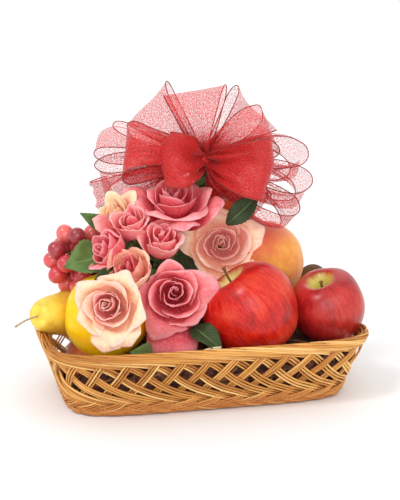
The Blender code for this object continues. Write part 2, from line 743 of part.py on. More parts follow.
def build():
    wicker = material("wicker", (0.62, 0.36, 0.14), 0.55)
    red_skin = material("red_skin", (0.55, 0.03, 0.03), 0.25)
    crimson_skin = material("crimson_skin", (0.36, 0.03, 0.05), 0.28)
    yellow_skin = material("yellow_skin", (0.92, 0.60, 0.02), 0.35)
    pear_skin = material("pear_skin", (0.86, 0.60, 0.12), 0.4)
    peach_skin = material("peach_skin", (0.82, 0.36, 0.12), 0.6)
    orange_skin = material("orange_skin", (0.75, 0.18, 0.03), 0.45)
    kiwi_skin = material("kiwi_skin", (0.16, 0.08, 0.04), 0.8)
    grape_skin = material("grape_skin", (0.42, 0.05, 0.07), 0.25)
    pink_petal = material("pink_petal", (0.72, 0.16, 0.20), 0.6)
    cream_petal = material("cream_petal", (0.88, 0.60, 0.42), 0.6)
    green_leaf = material("green_leaf", (0.09, 0.22, 0.06), 0.5)
    ribbon = material("ribbon", (0.62, 0.05, 0.06), 0.45)
    wood = material("wood", (0.20, 0.13, 0.05), 0.7)
    packing = material("packing", (0.07, 0.04, 0.02), 0.85)
    foam = material("foam", (0.05, 0.09, 0.03), 0.9)
    tissue = material("tissue", (0.90, 0.82, 0.58), 0.8)

    placed = [basket(wicker)]
    for made in (
        apple("front_apple", FRONT_APPLE, 76 * MM, (-0.57, 0.10, 0.81), 0.3, 27 * MM, red_skin),
        apple("right_apple", RIGHT_APPLE, 64 * MM, (-0.36, -0.23, 0.90), 0.9, 12 * MM, crimson_skin),
        apple("low_apple", LOW_APPLE, 44 * MM, (0.3, 0.1, 0.95), 0.0, 9 * MM, red_skin, 12),
        round_fruit("yellow_mango", YELLOW_MANGO[0], (-0.25, 0.1, 0.96), YELLOW_MANGO[1],
                    YELLOW_MANGO[1], yellow_skin, -0.10, 0.04),
        pear(pear_skin),
        round_fruit("peach", PEACH[0], (-0.2, 0.1, 0.97), PEACH[1], PEACH[1] * 0.98, peach_skin,
                    0.03, 0.03),
        round_fruit("orange", ORANGE[0], (0.2, 0.3, 0.93), ORANGE[1], ORANGE[1] * 0.96, orange_skin,
                    sides=12),
        round_fruit("kiwi", KIWI[0], (0.05, 0.0, 1.0), KIWI[1], KIWI[1] * 1.5, kiwi_skin, 0.06, 0.06,
                    sides=12),
        grapes(grape_skin),
        packing_bed(packing),
        flower_foam(foam),
        stick("orange_pick", PICK, [PICK_RADIUS] * len(PICK), wood),
    ):
        placed.append(fitted(made, placed))
    for name, spec in ROSES.items():
        finish = cream_petal if name[5] in "259" else pink_petal
        placed.append(fitted(rose(name, spec, finish), placed))
    placed.append(fitted(stick("bow_stake", STAKE, STAKE_RADII, wood), placed))
    placed.append(fitted(bow(ribbon), placed))
    for name, spec in LEAVES.items():
        made = leaf(name, spec)
        made.data.materials.append(green_leaf)
        placed.append(fitted(apply_modifiers(made), placed))
    paper = leaf("tissue_corner", TISSUE)
    paper.data.materials.append(tissue)
    placed.append(fitted(apply_modifiers(paper), placed))


build()
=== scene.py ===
"""The looks of a fruit gift basket: cane wicker, fruit skins, cloth roses and leaves, and a sheer ribbon bow.
Metres, in the part's own frame: +X along the tray, -Y to its front, +Z up, the floor at 0."""

import random
from math import atan2, cos, pi, radians, sin, sqrt

import bmesh
import bpy
from mathutils import Matrix, Vector, noise
from mathutils.bvhtree import BVHTree


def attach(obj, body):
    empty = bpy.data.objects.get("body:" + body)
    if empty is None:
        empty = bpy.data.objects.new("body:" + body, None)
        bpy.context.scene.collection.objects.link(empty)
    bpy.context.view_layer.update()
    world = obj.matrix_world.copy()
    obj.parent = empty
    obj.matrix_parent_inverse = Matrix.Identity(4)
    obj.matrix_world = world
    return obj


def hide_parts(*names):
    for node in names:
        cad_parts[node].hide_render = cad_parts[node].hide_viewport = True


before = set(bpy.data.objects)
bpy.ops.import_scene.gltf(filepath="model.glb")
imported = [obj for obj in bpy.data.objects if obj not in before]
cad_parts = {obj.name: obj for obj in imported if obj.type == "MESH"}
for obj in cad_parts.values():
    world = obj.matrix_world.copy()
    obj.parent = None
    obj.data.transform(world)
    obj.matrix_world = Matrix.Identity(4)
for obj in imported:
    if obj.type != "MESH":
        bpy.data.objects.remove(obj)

MM = 0.001
UP = Vector((0, 0, 1))

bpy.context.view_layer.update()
draw = random.Random(5)

# The tray's driving sizes
RIM_LONG, RIM_DEEP, RIM_HEIGHT = 300 * MM, 196 * MM, 63 * MM
BASE_LONG, BASE_DEEP = 256 * MM, 142 * MM
SQUARENESS = 5
STRANDS = 36

# The posy and the bow face a little to the left of the tray's front
FRONT_YAW = radians(-13.5)
RIGHT = Vector((cos(FRONT_YAW), sin(FRONT_YAW), 0))
FRONT = Vector((sin(FRONT_YAW), -cos(FRONT_YAW), 0))


# Making meshes


def mm(x, y, z):
    """A point or a way given in millimetres."""
    return Vector((x, y, z)) * MM


def new_mesh():
    """An empty bmesh whose points carry what the materials read."""
    bm = bmesh.new()
    for name in ("along", "across", "tone", "deep"):
        bm.verts.layers.float.new(name)
    return bm


def layers(bm, *names):
    return [bm.verts.layers.float[name] for name in names]


def mark(bm, **values):
    """Writes the same value on every point, one for each name."""
    for layer, value in zip(layers(bm, *values), values.values()):
        for vert in bm.verts:
            vert[layer] = value


def append(bm, part):
    """Adds one bmesh to another and frees it."""
    mesh = bpy.data.meshes.new("part")
    part.to_mesh(mesh)
    part.free()
    bm.from_mesh(mesh)
    bpy.data.meshes.remove(mesh)


def placed(name, bm, finishes):
    """An object made from a bmesh, with its finishes."""
    mesh = bpy.data.meshes.new(name)
    bm.to_mesh(mesh)
    bm.free()
    for finish in finishes:
        mesh.materials.append(finish)
    made = bpy.data.objects.new(name, mesh)
    bpy.context.scene.collection.objects.link(made)
    return made


def piece(name, bm, finishes, slot, nodes=(), smooth=True):
    """A finished piece from a bmesh: named, riding on the basket, standing for its nodes."""
    made = placed(name, bm, finishes)
    if smooth:
        made.data.shade_smooth()
    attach(made, "root")
    if nodes:
        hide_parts(*nodes)
    return made


def subdivided(made):
    step = made.modifiers.new("smooth", "SUBSURF")
    step.levels = 1
    step.render_levels = 1
    return made


def thickened(made, thick):
    step = made.modifiers.new("thickness", "SOLIDIFY")
    step.thickness = thick
    step.offset = 0.0


def dress(node, finish):
    """Gives a CAD node that stays its finish."""
    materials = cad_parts[node].data.materials
    materials.clear()
    materials.append(finish)


def upright(x_way, y_way, z_way):
    """The turn that lays the three axes along these ways."""
    return Matrix((x_way, y_way, z_way)).transposed().to_4x4()


def path_frames(path):
    """A turning frame at each point of a path, without twist."""
    frames = []
    across = (path[1] - path[0]).orthogonal().normalized()
    last = len(path) - 1
    for k, point in enumerate(path):
        along = (path[min(k + 1, last)] - path[max(k - 1, 0)]).normalized()
        across = (across - along * across.dot(along)).normalized()
        frames.append(Matrix.Translation(point) @ upright(across, along.cross(across), along))
    return frames


def rod(bm, path, radii, sides=6, tone=0.5, flat=1.0, material=0):
    """A rod along a path: a circle extruded from point to point, its ends closed."""
    part = new_mesh()
    if not hasattr(radii, "__len__"):
        radii = [radii] * len(path)
    along, across, deep = layers(part, "along", "across", "deep")
    ring = bmesh.ops.create_circle(part, cap_ends=False, segments=sides, radius=1)["verts"]
    for vert in ring:
        vert[across], vert[deep] = vert.co.x, vert.co.y
    edges = list(part.edges)
    first_edges = edges
    before = Matrix.Identity(4)
    length = 0.0
    for k, place in enumerate(path_frames(path)):
        if k:
            length += (path[k] - path[k - 1]).length
            grown = bmesh.ops.extrude_edge_only(part, edges=edges)["geom"]
            ring = [e for e in grown if isinstance(e, bmesh.types.BMVert)]
            edges = [e for e in grown if isinstance(e, bmesh.types.BMEdge)]
            rim = set(ring)
            edges = [e for e in edges if e.verts[0] in rim and e.verts[1] in rim]
        here = place @ Matrix.Diagonal((radii[k], radii[k] * flat, 1, 1))
        move = here @ before.inverted()
        for vert in ring:
            vert.co = move @ vert.co
            vert[along] = length
        before = here
    for end in (first_edges, edges):
        bmesh.ops.contextual_create(part, geom=end)
    bmesh.ops.recalc_face_normals(part, faces=part.faces)
    mark(part, tone=tone)
    for face in part.faces:
        face.material_index = material
    append(bm, part)


def curve_through(points, steps):
    """Points along a smooth curve through the given ones."""
    points = [Vector(p) for p in points]
    ends = [points[0] * 2 - points[1], *points, points[-1] * 2 - points[-2]]
    made = []
    for a, b, c, d in zip(ends, ends[1:], ends[2:], ends[3:]):
        for k in range(steps):
            t = k / steps
            made.append(
                (b * 2 + (c - a) * t + (a * 2 - b * 5 + c * 4 - d) * t * t
                 + (b * 3 - a - c * 3 + d) * t * t * t) * 0.5
            )
    return [*made, points[-1]]


def smooth_step(x):
    x = min(max(x, 0.0), 1.0)
    return x * x * (3 - 2 * x)


def noise_at(x, y, z):
    return noise.noise(Vector((x, y, z)))


def crease_at(x, y, seed):
    """1 along the thin lines where a noise passes through nothing, and 0 beside them."""
    return max(0.0, 1 - CREASE_SHARPNESS * abs(noise_at(x, y, seed)))


def cloth(bm, surface, rows, columns, tone=0.5, deep=0.0):
    """A grid bent to surface(u, v), u and v from 0 to 1, with u kept as along and v as across."""
    part = new_mesh()
    bmesh.ops.create_grid(part, x_segments=rows, y_segments=columns, size=0.5)
    along, across = layers(part, "along", "across")
    for vert in part.verts:
        u, v = vert.co.x + 0.5, vert.co.y + 0.5
        vert[along], vert[across] = u, v
        vert.co = surface(u, v)
    mark(part, tone=tone, deep=deep)
    append(bm, part)


# Making finishes


def colour(red, green, blue):
    """A colour as it shows, 0 to 255 each, in the shader's own light."""
    shares = (c / 255 for c in (red, green, blue))
    return (*(s / 12.92 if s <= 0.04045 else ((s + 0.055) / 1.055) ** 2.4 for s in shares), 1)


class Finish:
    """A material: constants go on the shader's own sockets, patterns through nodes."""

    def __init__(self, name, **sockets):
        self.material = bpy.data.materials.new(name)
        self.material.use_nodes = True
        self.tree = self.material.node_tree
        self.shader = self.tree.nodes["Principled BSDF"]
        for socket, value in sockets.items():
            self.shader.inputs[socket.replace("_", " ")].default_value = value

    def node(self, kind, values=(), **settings):
        made = self.tree.nodes.new(kind)
        for name, value in settings.items():
            setattr(made, name, value)
        for socket, value in dict(values).items():
            if isinstance(value, bpy.types.NodeSocket):
                self.tree.links.new(value, made.inputs[socket])
            else:
                made.inputs[socket].default_value = value
        return made

    def place(self, middle=(0, 0, 0), turn=(0, 0, 0), size=(1, 1, 1)):
        """Object coordinates, as they are or centred, turned and scaled to one fruit."""
        where = self.node("ShaderNodeTexCoord").outputs["Object"]
        values = {"Vector": where, "Location": middle, "Rotation": turn, "Scale": size}
        return self.node("ShaderNodeMapping", values, vector_type="TEXTURE").outputs[0]

    def attributes(self, *names):
        return [self.node("ShaderNodeAttribute", attribute_name=name).outputs["Fac"] for name in names]

    def mottle(self, vector, scale, detail=3.0, roughness=0.55, distortion=0.0):
        values = {"Vector": vector, "Scale": scale, "Detail": detail, "Roughness": roughness}
        values["Distortion"] = distortion
        return self.node("ShaderNodeTexNoise", values).outputs["Fac"]

    def specks(self, vector, scale, least, most):
        """1 on round specks and 0 between them."""
        values = {"Vector": vector, "Scale": scale}
        return self.between(self.node("ShaderNodeTexVoronoi", values).outputs["Distance"], most, least)

    def between(self, value, low, high, to_low=0.0, to_high=1.0):
        values = {"Value": value, "From Min": low, "From Max": high, "To Min": to_low, "To Max": to_high}
        return self.node("ShaderNodeMapRange", values, interpolation_type="SMOOTHSTEP").outputs["Result"]

    def math(self, kind, a, b=0.0):
        return self.node("ShaderNodeMath", {0: a, 1: b}, operation=kind).outputs[0]

    def plus(self, a, b):
        return self.math("ADD", a, b)

    def minus(self, a, b):
        return self.math("SUBTRACT", a, b)

    def times(self, a, b):
        return self.math("MULTIPLY", a, b)

    def vector(self, kind, a, b=(0, 0, 0)):
        """What a vector operation gives: a number for a length or a dot product, else a vector."""
        made = self.node("ShaderNodeVectorMath", {0: a, 1: b}, operation=kind)
        return made.outputs[1 if kind in ("LENGTH", "DOT_PRODUCT") else 0]

    def joined(self, x, y, z):
        return self.node("ShaderNodeCombineXYZ", {0: x, 1: y, 2: z}).outputs[0]

    def height(self, vector):
        return self.node("ShaderNodeSeparateXYZ", {0: vector}).outputs[2]

    def ramp(self, factor, *stops):
        """Shades, 0 to 255, each at its place from 0 to 1."""
        made = self.node("ShaderNodeValToRGB", {0: factor})
        steps = made.color_ramp.elements
        while len(steps) < len(stops):
            steps.new(0.5)
        for step, (at, shade) in zip(steps, stops):
            step.position = at
            step.color = colour(*shade)
        return made.outputs["Color"]

    def mix(self, factor, a, b):
        """The first shade where the factor is 0, the second where it is 1."""
        a, b = (colour(*shade) if isinstance(shade, tuple) else shade for shade in (a, b))
        return self.node("ShaderNodeMix", {0: factor, 6: a, 7: b}, data_type="RGBA").outputs[2]

    def paint(self, shade):
        self.tree.links.new(shade, self.shader.inputs["Base Color"])

    def rough(self, value, low, high):
        self.tree.links.new(self.between(value, 0, 1, low, high), self.shader.inputs["Roughness"])

    def relief(self, height, distance, strength=1.0):
        """A bump of the given depth in metres."""
        made = self.node("ShaderNodeBump", {"Height": height, "Distance": distance, "Strength": strength})
        self.tree.links.new(made.outputs[0], self.shader.inputs["Normal"])


def clouded_finish(name, roughness, scale, coarse, depth, *stops):
    """Plain matt stuff: a few shades in clouds, and a relief that follows them."""
    made = Finish(name, Roughness=roughness)
    clouds = made.mottle(made.place(), scale, 4.0, coarse)
    made.paint(made.ramp(clouds, *stops))
    made.relief(clouds, depth)
    return made.material


def wood_finish(name, pale, dark):
    made = Finish(name, Specular_IOR_Level=0.25)
    grain = made.mottle(made.vector("MULTIPLY", made.place(), (700, 700, 90)), 1.0, 5.0)
    made.paint(made.ramp(grain, (0.3, dark), (0.7, pale)))
    made.rough(grain, 0.55, 0.8)
    made.relief(grain, 0.4 * MM)
    return made.material


# Wicker


def wicker_finish():
    """Split cane: each length has its own tone, long grain and a few darker stretches."""
    made = Finish("cane_wicker", Specular_IOR_Level=0.2)
    tone, along, across, deep = made.attributes("tone", "along", "across", "deep")
    own = made.times(tone, 40.0)
    grain = made.joined(
        made.times(along, 26.0), made.plus(made.times(across, 2.2), own), made.times(deep, 2.2),
    )
    streaks = made.mottle(grain, 1.6, 4.0)
    stretches = made.mottle(made.joined(made.times(along, 34.0), own, 0.0), 1.0, 2.0)
    golden = made.ramp(
        tone, (0.0, (166, 102, 46)), (0.3, (204, 140, 70)), (0.7, (228, 168, 90)), (1.0, (246, 204, 132)),
    )
    worn = made.mix(made.between(stretches, 0.5, 0.8, 0.0, 0.6), golden, (170, 108, 56))
    grained = made.mix(made.between(streaks, 0.45, 0.8, 0.0, 0.6), worn, (146, 88, 44))
    foot = made.between(made.height(made.place()), 17 * MM, 8 * MM, 0.0, 0.55)
    made.paint(made.mix(foot, grained, (186, 112, 60)))
    made.rough(streaks, 0.42, 0.62)
    made.relief(streaks, 0.12 * MM, 0.5)
    return made.material


def oblong(half_long, half_deep, turn):
    c, s = cos(turn), sin(turn)
    reach = (abs(c) ** SQUARENESS + abs(s) ** SQUARENESS) ** (-1 / SQUARENESS)
    return Vector((half_long * c * reach, half_deep * s * reach, 0))


def even_turns(count, fine=1440):
    """Turns that part the wall's middle into steps of one length."""
    middle = (RIM_LONG + BASE_LONG) / 4, (RIM_DEEP + BASE_DEEP) / 4
    points = [oblong(*middle, 2 * pi * k / fine) for k in range(fine + 1)]
    lengths = [0.0]
    for one, after in zip(points, points[1:]):
        lengths.append(lengths[-1] + (after - one).length)
    turns, k = [], 0
    for n in range(count):
        wanted = lengths[-1] * n / count
        while lengths[k + 1] < wanted:
            k += 1
        share = (wanted - lengths[k]) / (lengths[k + 1] - lengths[k])
        turns.append(2 * pi * (k + share) / fine)
    return turns


FINE_STEPS = 720
FINE_TURNS = even_turns(FINE_STEPS)


def wall_point(around, height, outward=0.0):
    """The wall's outside at a share of the way round and a height, moved outward."""
    place = (around % 1.0) * FINE_STEPS
    k = int(place) % FINE_STEPS
    after = FINE_TURNS[k + 1] if k + 1 < FINE_STEPS else 2 * pi
    turn = FINE_TURNS[k] + (after - FINE_TURNS[k]) * (place - int(place))
    share = height / RIM_HEIGHT
    half_long = (BASE_LONG + (RIM_LONG - BASE_LONG) * share) / 2
    half_deep = (BASE_DEEP + (RIM_DEEP - BASE_DEEP) * share) / 2
    here = oblong(half_long, half_deep, turn)
    ahead = oblong(half_long, half_deep, turn + 0.01) - oblong(half_long, half_deep, turn - 0.01)
    normal = Vector((ahead.y, -ahead.x, 0)).normalized()
    return here + normal * outward + UP * height


CANES = 3  # in each strand
CANE_STEP = 2.5 * MM  # from one cane of a strand to the next
CANE_RADIUS = 1.02 * MM
WALL_ROUND = (RIM_LONG + BASE_LONG + RIM_DEEP + BASE_DEEP) * 0.96


def wall_canes(bm, start, stations):
    """One strand of canes side by side: stations are (share of a spacing, height, outward, spread)."""
    stations = curve_through(stations, 5)
    for cane in range(CANES):
        side = (cane - (CANES - 1) / 2) * CANE_STEP
        tone = draw.uniform(0.1, 1.0)
        wander = draw.uniform(-0.25, 0.25) * MM
        proud = draw.uniform(-0.3, 0.7)
        path, radii = [], []
        for k, here in enumerate(stations):
            before, after = stations[max(k - 1, 0)], stations[min(k + 1, len(stations) - 1)]
            run = (after[0] - before[0]) / STRANDS * WALL_ROUND
            rise = (after[1] - before[1]) * MM
            slope = sqrt(run * run + rise * rise)
            apart = side * here[3] + wander * sin(k * 0.45 + cane)
            around = start + here[0] / STRANDS - apart * rise / slope / WALL_ROUND
            height = here[1] * MM + apart * run / slope
            outward = here[2] + proud * (1 - here[3])
            path.append(wall_point(around, height, outward * MM))
            radii.append(CANE_RADIUS * (0.5 + 0.5 * here[3]))
        rod(bm, path, radii, 6, tone, flat=0.85)


# Each way's strands from the foot to the rim: share of a spacing, height and outward in millimetres, and
# how far apart its canes spread. At the foot the rising ones make the upper row, the falling ones the lower
RISING = [
    (-1.15, 6.0, -3.4, 0.7), (-0.8, 7.2, -1.1, 0.8), (-0.3, 10.2, -0.6, 0.85), (0.0, 13.2, -1.4, 0.9),
    (0.25, 17.5, -3.6, 1), (0.62, 26, -4.6, 1), (0.98, 35, -2.4, 1), (1.25, 43, -1.2, 1),
    (1.52, 51, -2.4, 1), (1.75, 57, -4.8, 0.9),
]
FALLING = [
    (2.1, 3.0, -2.8, 0.5), (1.8, 3.7, -0.9, 0.6), (1.3, 6.4, -1.0, 0.75), (0.95, 9.0, -3.4, 0.8),
    (0.5, 12.4, -3.6, 0.9), (0.0, 16.4, -1.4, 1), (-0.75, 22.6, -1.2, 1), (-1.3, 29.6, -1.6, 1),
    (-1.7, 36.5, -3.6, 1), (-2.05, 43.5, -4.8, 1), (-2.5, 49.5, -4.0, 0.9), (-3.3, 53.6, -1.0, 0.7),
    (-4.3, 56.6, -0.5, 0.65), (-5.3, 59.3, -1.0, 0.6), (-6.1, 61.2, -2.6, 0.5), (-6.7, 61.2, -5.0, 0.4),
]
# Rods right round the tray: height, outward and radius in millimetres
HOOPS = [
    (57.0, -4.6, 3.2), (53.2, -5.8, 1.7), (61.6, -3.4, 1.3), (60.9, -6.2, 1.5), (57.6, -8.0, 1.5),
    (54.4, -8.0, 1.4), (6.2, -4.8, 3.4), (2.2, -3.0, 1.6), (10.4, -5.2, 1.7),
]
HOOP_STEPS = 180
# The floor's stakes run from front to back, its canes from left to right
STAKE_STEP, STAKE_RADIUS = 14 * MM, 1.3 * MM
FLOOR_CANE_STEP, FLOOR_CANE_RADIUS = 3.1 * MM, 1.05 * MM
FLOOR_HEIGHT, FLOOR_INSET = 2.6, 3 * MM


def wicker():
    finish = wicker_finish()
    parts = {name: new_mesh() for name in ("rising_strands", "falling_strands", "hoops", "floor")}
    for k in range(STRANDS):
        wall_canes(parts["rising_strands"], k / STRANDS, RISING)
        wall_canes(parts["falling_strands"], k / STRANDS, FALLING)
    for height, outward, radius in HOOPS:
        tone = draw.uniform(0.1, 0.5)
        path = [wall_point(k / HOOP_STEPS, height * MM, outward * MM) for k in range(HOOP_STEPS + 1)]
        rod(parts["hoops"], path, radius * MM, 6, tone, flat=0.9)
    weave_floor(parts["floor"])
    for name, bm in parts.items():
        piece("wicker_" + name, bm, [finish], "wicker", ["basket"])


def floor_reach(place, half, other_half):
    """Half the floor's length at a depth, or half its depth at a place along it."""
    share = min(abs(place) / half, 0.999)
    return other_half * (1 - share**SQUARENESS) ** (1 / SQUARENESS) - FLOOR_INSET


def weave_floor(bm):
    """Stakes from front to back with canes woven over and under them, resting on the table."""
    half_long, half_deep = BASE_LONG / 2, BASE_DEEP / 2
    stakes = int(BASE_LONG / STAKE_STEP) - 1
    for k in range(stakes):
        x = (k - (stakes - 1) / 2) * STAKE_STEP
        deep = floor_reach(x, half_long, half_deep)
        path = [Vector((x, y, FLOOR_HEIGHT * MM)) for y in (-deep, 0, deep)]
        rod(bm, path, STAKE_RADIUS, 6, draw.uniform(0.1, 0.6))
    canes = int((BASE_DEEP - 8 * MM) / FLOOR_CANE_STEP)
    for k in range(canes):
        y = (k - (canes - 1) / 2) * FLOOR_CANE_STEP
        half = floor_reach(y, half_deep, half_long)
        steps = int(2 * half / (STAKE_STEP / 2))
        path = []
        for n in range(steps + 1):
            x = -half + 2 * half * n / steps
            wave = cos(pi * x / STAKE_STEP) * (1 if k % 2 else -1)
            path.append(Vector((x, y, (FLOOR_HEIGHT + 1.1 * wave) * MM)))
        rod(bm, path, FLOOR_CANE_RADIUS, 5, draw.uniform(0.1, 0.8))


# Fruit

APPLE_OUTLINE = [
    (0.0, -0.70), (0.10, -0.74), (0.22, -0.88), (0.42, -0.97), (0.66, -0.82), (0.90, -0.38), (1.0, 0.10),
    (0.94, 0.55), (0.74, 0.87), (0.46, 1.0), (0.24, 0.88), (0.10, 0.66), (0.0, 0.56),
]
# Each has its middle and radius as the tray holds it, the turn of its lobes, its deep, body, bright and
# hollow's shades, and the way and shade of its paler side
APPLES = {
    "front_apple": dict(
        slot="red_skin", skin="red_apple_skin", fruit=(mm(39, -47, 82), 43 * MM), tall=76 * MM,
        axis=(-0.57, 0.10, 0.81), spin=0.3, stalk_long=27 * MM, lit=(0.75, -0.25, -0.45),
        patch=(230, 96, 58), shades=((142, 6, 6), (198, 20, 10), (222, 72, 34), (238, 214, 130)),
    ),
    "right_apple": dict(
        slot="crimson_skin", skin="crimson_apple_skin", fruit=(mm(115, -37, 78), 34.5 * MM), tall=64 * MM,
        axis=(-0.363, -0.23, 0.904), spin=0.9, stalk_long=12 * MM, lit=(0.1, -0.75, -0.2),
        patch=(208, 76, 46), shades=((132, 12, 20), (172, 28, 30), (198, 56, 44), (196, 180, 84)),
    ),
    "low_apple": dict(
        slot="red_skin", skin="low_apple_skin", fruit=(mm(-99, 15, 28), 24 * MM), tall=44 * MM,
        axis=(0.3, 0.1, 0.95), spin=0.0, stalk_long=9 * MM, lit=(-0.6, -0.5, 0.3),
        patch=(234, 170, 90), shades=((150, 20, 18), (196, 52, 36), (222, 108, 60), (236, 200, 110)),
    ),
}
# An outline is how much the fruit swells above and below its middle and how deep its top dips, tall is its
# height in widths, and blush is a side tint: the way it looks, where it starts, where it is full,
# and its shade; on the peach, orange and kiwi it is their own colour, on the mango painted shade
ROUND_FRUITS = {
    "yellow_mango": dict(
        slot="yellow_skin", fruit=(mm(-89, -22, 80), 38.5 * MM), tall=1.0,
        outline=(-0.10, 0.04, 0.03), axis=(-0.25, 0.1, 0.96),
        stops=((0.3, (252, 190, 0)), (0.55, (254, 206, 2)), (0.8, (255, 214, 18))),
        # The mango's side tint is painted shade: warmer orange on its lower right, away from the light
        blush=((0.9, 0.0, -0.5), 0.75, 1.6, (250, 184, 4)), specks=(15.0, 0.2, (226, 170, 10)), relief=0.08,
        Roughness=0.36, Specular_IOR_Level=0.3, Subsurface_Weight=0.2, Subsurface_Scale=0.01,
    ),
    "peach": dict(
        slot="peach_skin", fruit=(mm(72, 39, 108), 41.5 * MM), tall=0.98,
        outline=(0.03, 0.03, 0.10), axis=(-0.2, 0.1, 0.97),
        stops=((0.32, (224, 122, 48)), (0.5, (236, 152, 56)), (0.70, (245, 182, 72))),
        blush=((-0.35, -0.2, 0.95), 0.55, 1.25, (222, 98, 74)), specks=(30.0, 0.3, (200, 88, 54)),
        relief=0.10, Roughness=0.62, Sheen_Weight=0.5, Sheen_Roughness=0.4,
    ),
    "orange": dict(
        slot="orange_skin", fruit=(mm(49, 73, 163), 27 * MM), tall=0.96,
        outline=(0.0, 0.0, 0.06), axis=(0.2, 0.3, 0.93),
        stops=((0.3, (226, 84, 20)), (0.55, (236, 104, 24)), (0.8, (244, 132, 36))),
        blush=((-0.6, -0.4, 0.3), 0.7, 1.5, (214, 64, 26)), specks=(24.0, 0.3, (206, 80, 16)), pores=0.35,
        Roughness=0.40, Coat_Weight=0.1,
    ),
    "kiwi": dict(
        slot="kiwi_skin", fruit=(mm(123, 32, 76), 19 * MM), tall=1.5,
        outline=(0.06, 0.06, 0.0), axis=(0.05, 0.0, 1.0),
        stops=((0.3, (88, 56, 32)), (0.55, (120, 80, 44)), (0.8, (148, 104, 60))),
        blush=((0, 0, 1), 1.0, 1.8, (96, 68, 40)), specks=(60.0, 0.6, (160, 124, 80)), relief=0.5,
        Roughness=0.85, Specular_IOR_Level=0.2, Sheen_Weight=0.15,
    ),
}
PEAR_BODY, PEAR_RADIUS = mm(-99, 45, 67), 25 * MM
PEAR_TIP = mm(-149, -7, 79)
# Half outline from the foot up: the belly's heights in its radii, the neck's in the pear's length
PEAR_BELLY = [(0.0, -0.93), (0.12, -0.97), (0.38, -0.96), (0.72, -0.78), (0.97, -0.25), (1.0, 0.15)]
PEAR_NECK = [(0.93, 0.30), (0.80, 0.50), (0.72, 0.70), (0.62, 0.86), (0.42, 0.97), (0.14, 1.0), (0.0, 0.985)]
FRUIT_SIDES = 64
OUTLINE_ROWS = 14


def turned(bm, outline, middle, axis, uneven, lobes=0, lobe_depth=0.0, spin=0.0):
    """A fruit spun from its half outline about its own axis."""
    part = new_mesh()
    outline = curve_through([(r, 0, z) for r, z in outline], 5)
    verts = [part.verts.new(point) for point in outline]
    edges = [part.edges.new(pair) for pair in zip(verts, verts[1:])]
    bmesh.ops.spin(
        part, geom=verts + edges, axis=UP, cent=(0, 0, 0), steps=FRUIT_SIDES, angle=2 * pi, use_merge=True,
    )
    bmesh.ops.remove_doubles(part, verts=part.verts, dist=0.01 * MM)
    bmesh.ops.holes_fill(part, edges=part.edges, sides=0)
    bmesh.ops.recalc_face_normals(part, faces=part.faces)
    tallest = max(point.z for point in outline)
    turn = UP.rotation_difference(Vector(axis).normalized()).to_matrix()
    for vert in part.verts:
        angle = atan2(vert.co.y, vert.co.x)
        share = smooth_step(0.5 + 0.5 * vert.co.z / tallest)
        grow = 1 + lobe_depth * share * cos(lobes * (angle + spin))
        grow += uneven * noise.noise(vert.co / tallest * 1.1 + middle * 40)
        vert.co = middle + turn @ Vector((vert.co.x * grow, vert.co.y * grow, vert.co.z))
    append(bm, part)


def fruit_place(finish, middle, axis, radius):
    """Coordinates in radii from the fruit's middle, with z along its axis."""
    turn = UP.rotation_difference(Vector(axis).normalized()).to_euler()
    return finish.place(middle, turn, (radius,) * 3)


def looking(finish, middle, radius, way):
    """How far a place on a fruit looks one way, in radii."""
    return finish.vector("DOT_PRODUCT", finish.place(middle, size=(radius,) * 3), way)


def apple_finish(name, middle, radius, axis, shades, lit, patch):
    """Streaked, freckled waxed skin: shades are deep, body and bright, lit is the paler side."""
    deep, body, bright, cavity = shades
    made = Finish(name, Roughness=0.30, Specular_IOR_Level=0.1, Coat_Weight=0.7, Coat_Roughness=0.32)
    where = fruit_place(made, middle, axis, radius)
    flat = made.vector("MULTIPLY", where, (1, 1, 0))
    out = made.vector("LENGTH", flat)
    rise = made.vector("MULTIPLY", where, (0, 0, 0.22))
    pole_to_pole = made.vector("ADD", made.vector("NORMALIZE", flat), rise)
    streaks = made.mottle(pole_to_pole, 14.0, 6.0, 0.65, 0.6)
    clouds = made.mottle(where, 1.6, 3.0)
    mixed = made.plus(made.times(streaks, 0.5), made.times(clouds, 0.5))
    skin = made.ramp(mixed, (0.36, deep), (0.49, body), (0.68, bright))
    side = looking(made, middle, radius, lit)
    skin = made.mix(made.between(made.plus(side, made.times(streaks, 0.7)), 0.85, 1.6, 0.0, 0.7), skin, patch)
    freckles = made.specks(where, 30.0, 0.06, 0.2)
    seldom = made.between(made.mottle(where, 9.0), 0.40, 0.60, 0.15, 0.5)
    skin = made.mix(made.times(freckles, seldom), skin, (244, 180, 150))
    ragged = made.plus(out, made.times(made.mottle(pole_to_pole, 6.0), 0.22))
    hollow = made.times(made.between(ragged, 0.56, 0.32), made.between(made.height(where), 0.2, 0.5))
    made.paint(made.mix(hollow, skin, cavity))
    made.rough(clouds, 0.26, 0.40)
    made.relief(made.mottle(where, 26.0, 2.0), 0.12 * MM, 0.5)
    return made.material


def apple(name, stalk, slot, skin, fruit, tall, axis, spin, stalk_long, lit, patch, shades):
    middle, radius = fruit
    skin = apple_finish(skin, middle, radius, axis, shades, lit, patch)
    axis = Vector(axis).normalized()
    bm = new_mesh()
    outline = [(r * radius, z * tall / 2) for r, z in APPLE_OUTLINE]
    turned(bm, outline, middle, axis, uneven=0.03, lobes=5, lobe_depth=0.025, spin=spin)
    foot = middle + axis * (tall * 0.26)
    bend = Vector((0.05, 0, 0.1))
    path = curve_through([foot + (axis + bend * s * s) * stalk_long * s for s in (0, 0.4, 0.75, 1)], 4)
    last = len(path) - 1
    radii = [(1.15 + 0.9 * abs(k / last * 2 - 1) ** 4 * (k / last)) * MM for k in range(last + 1)]
    rod(bm, path, radii, 10, material=1)
    piece(name + "_skin", bm, [skin, stalk], slot, [name])


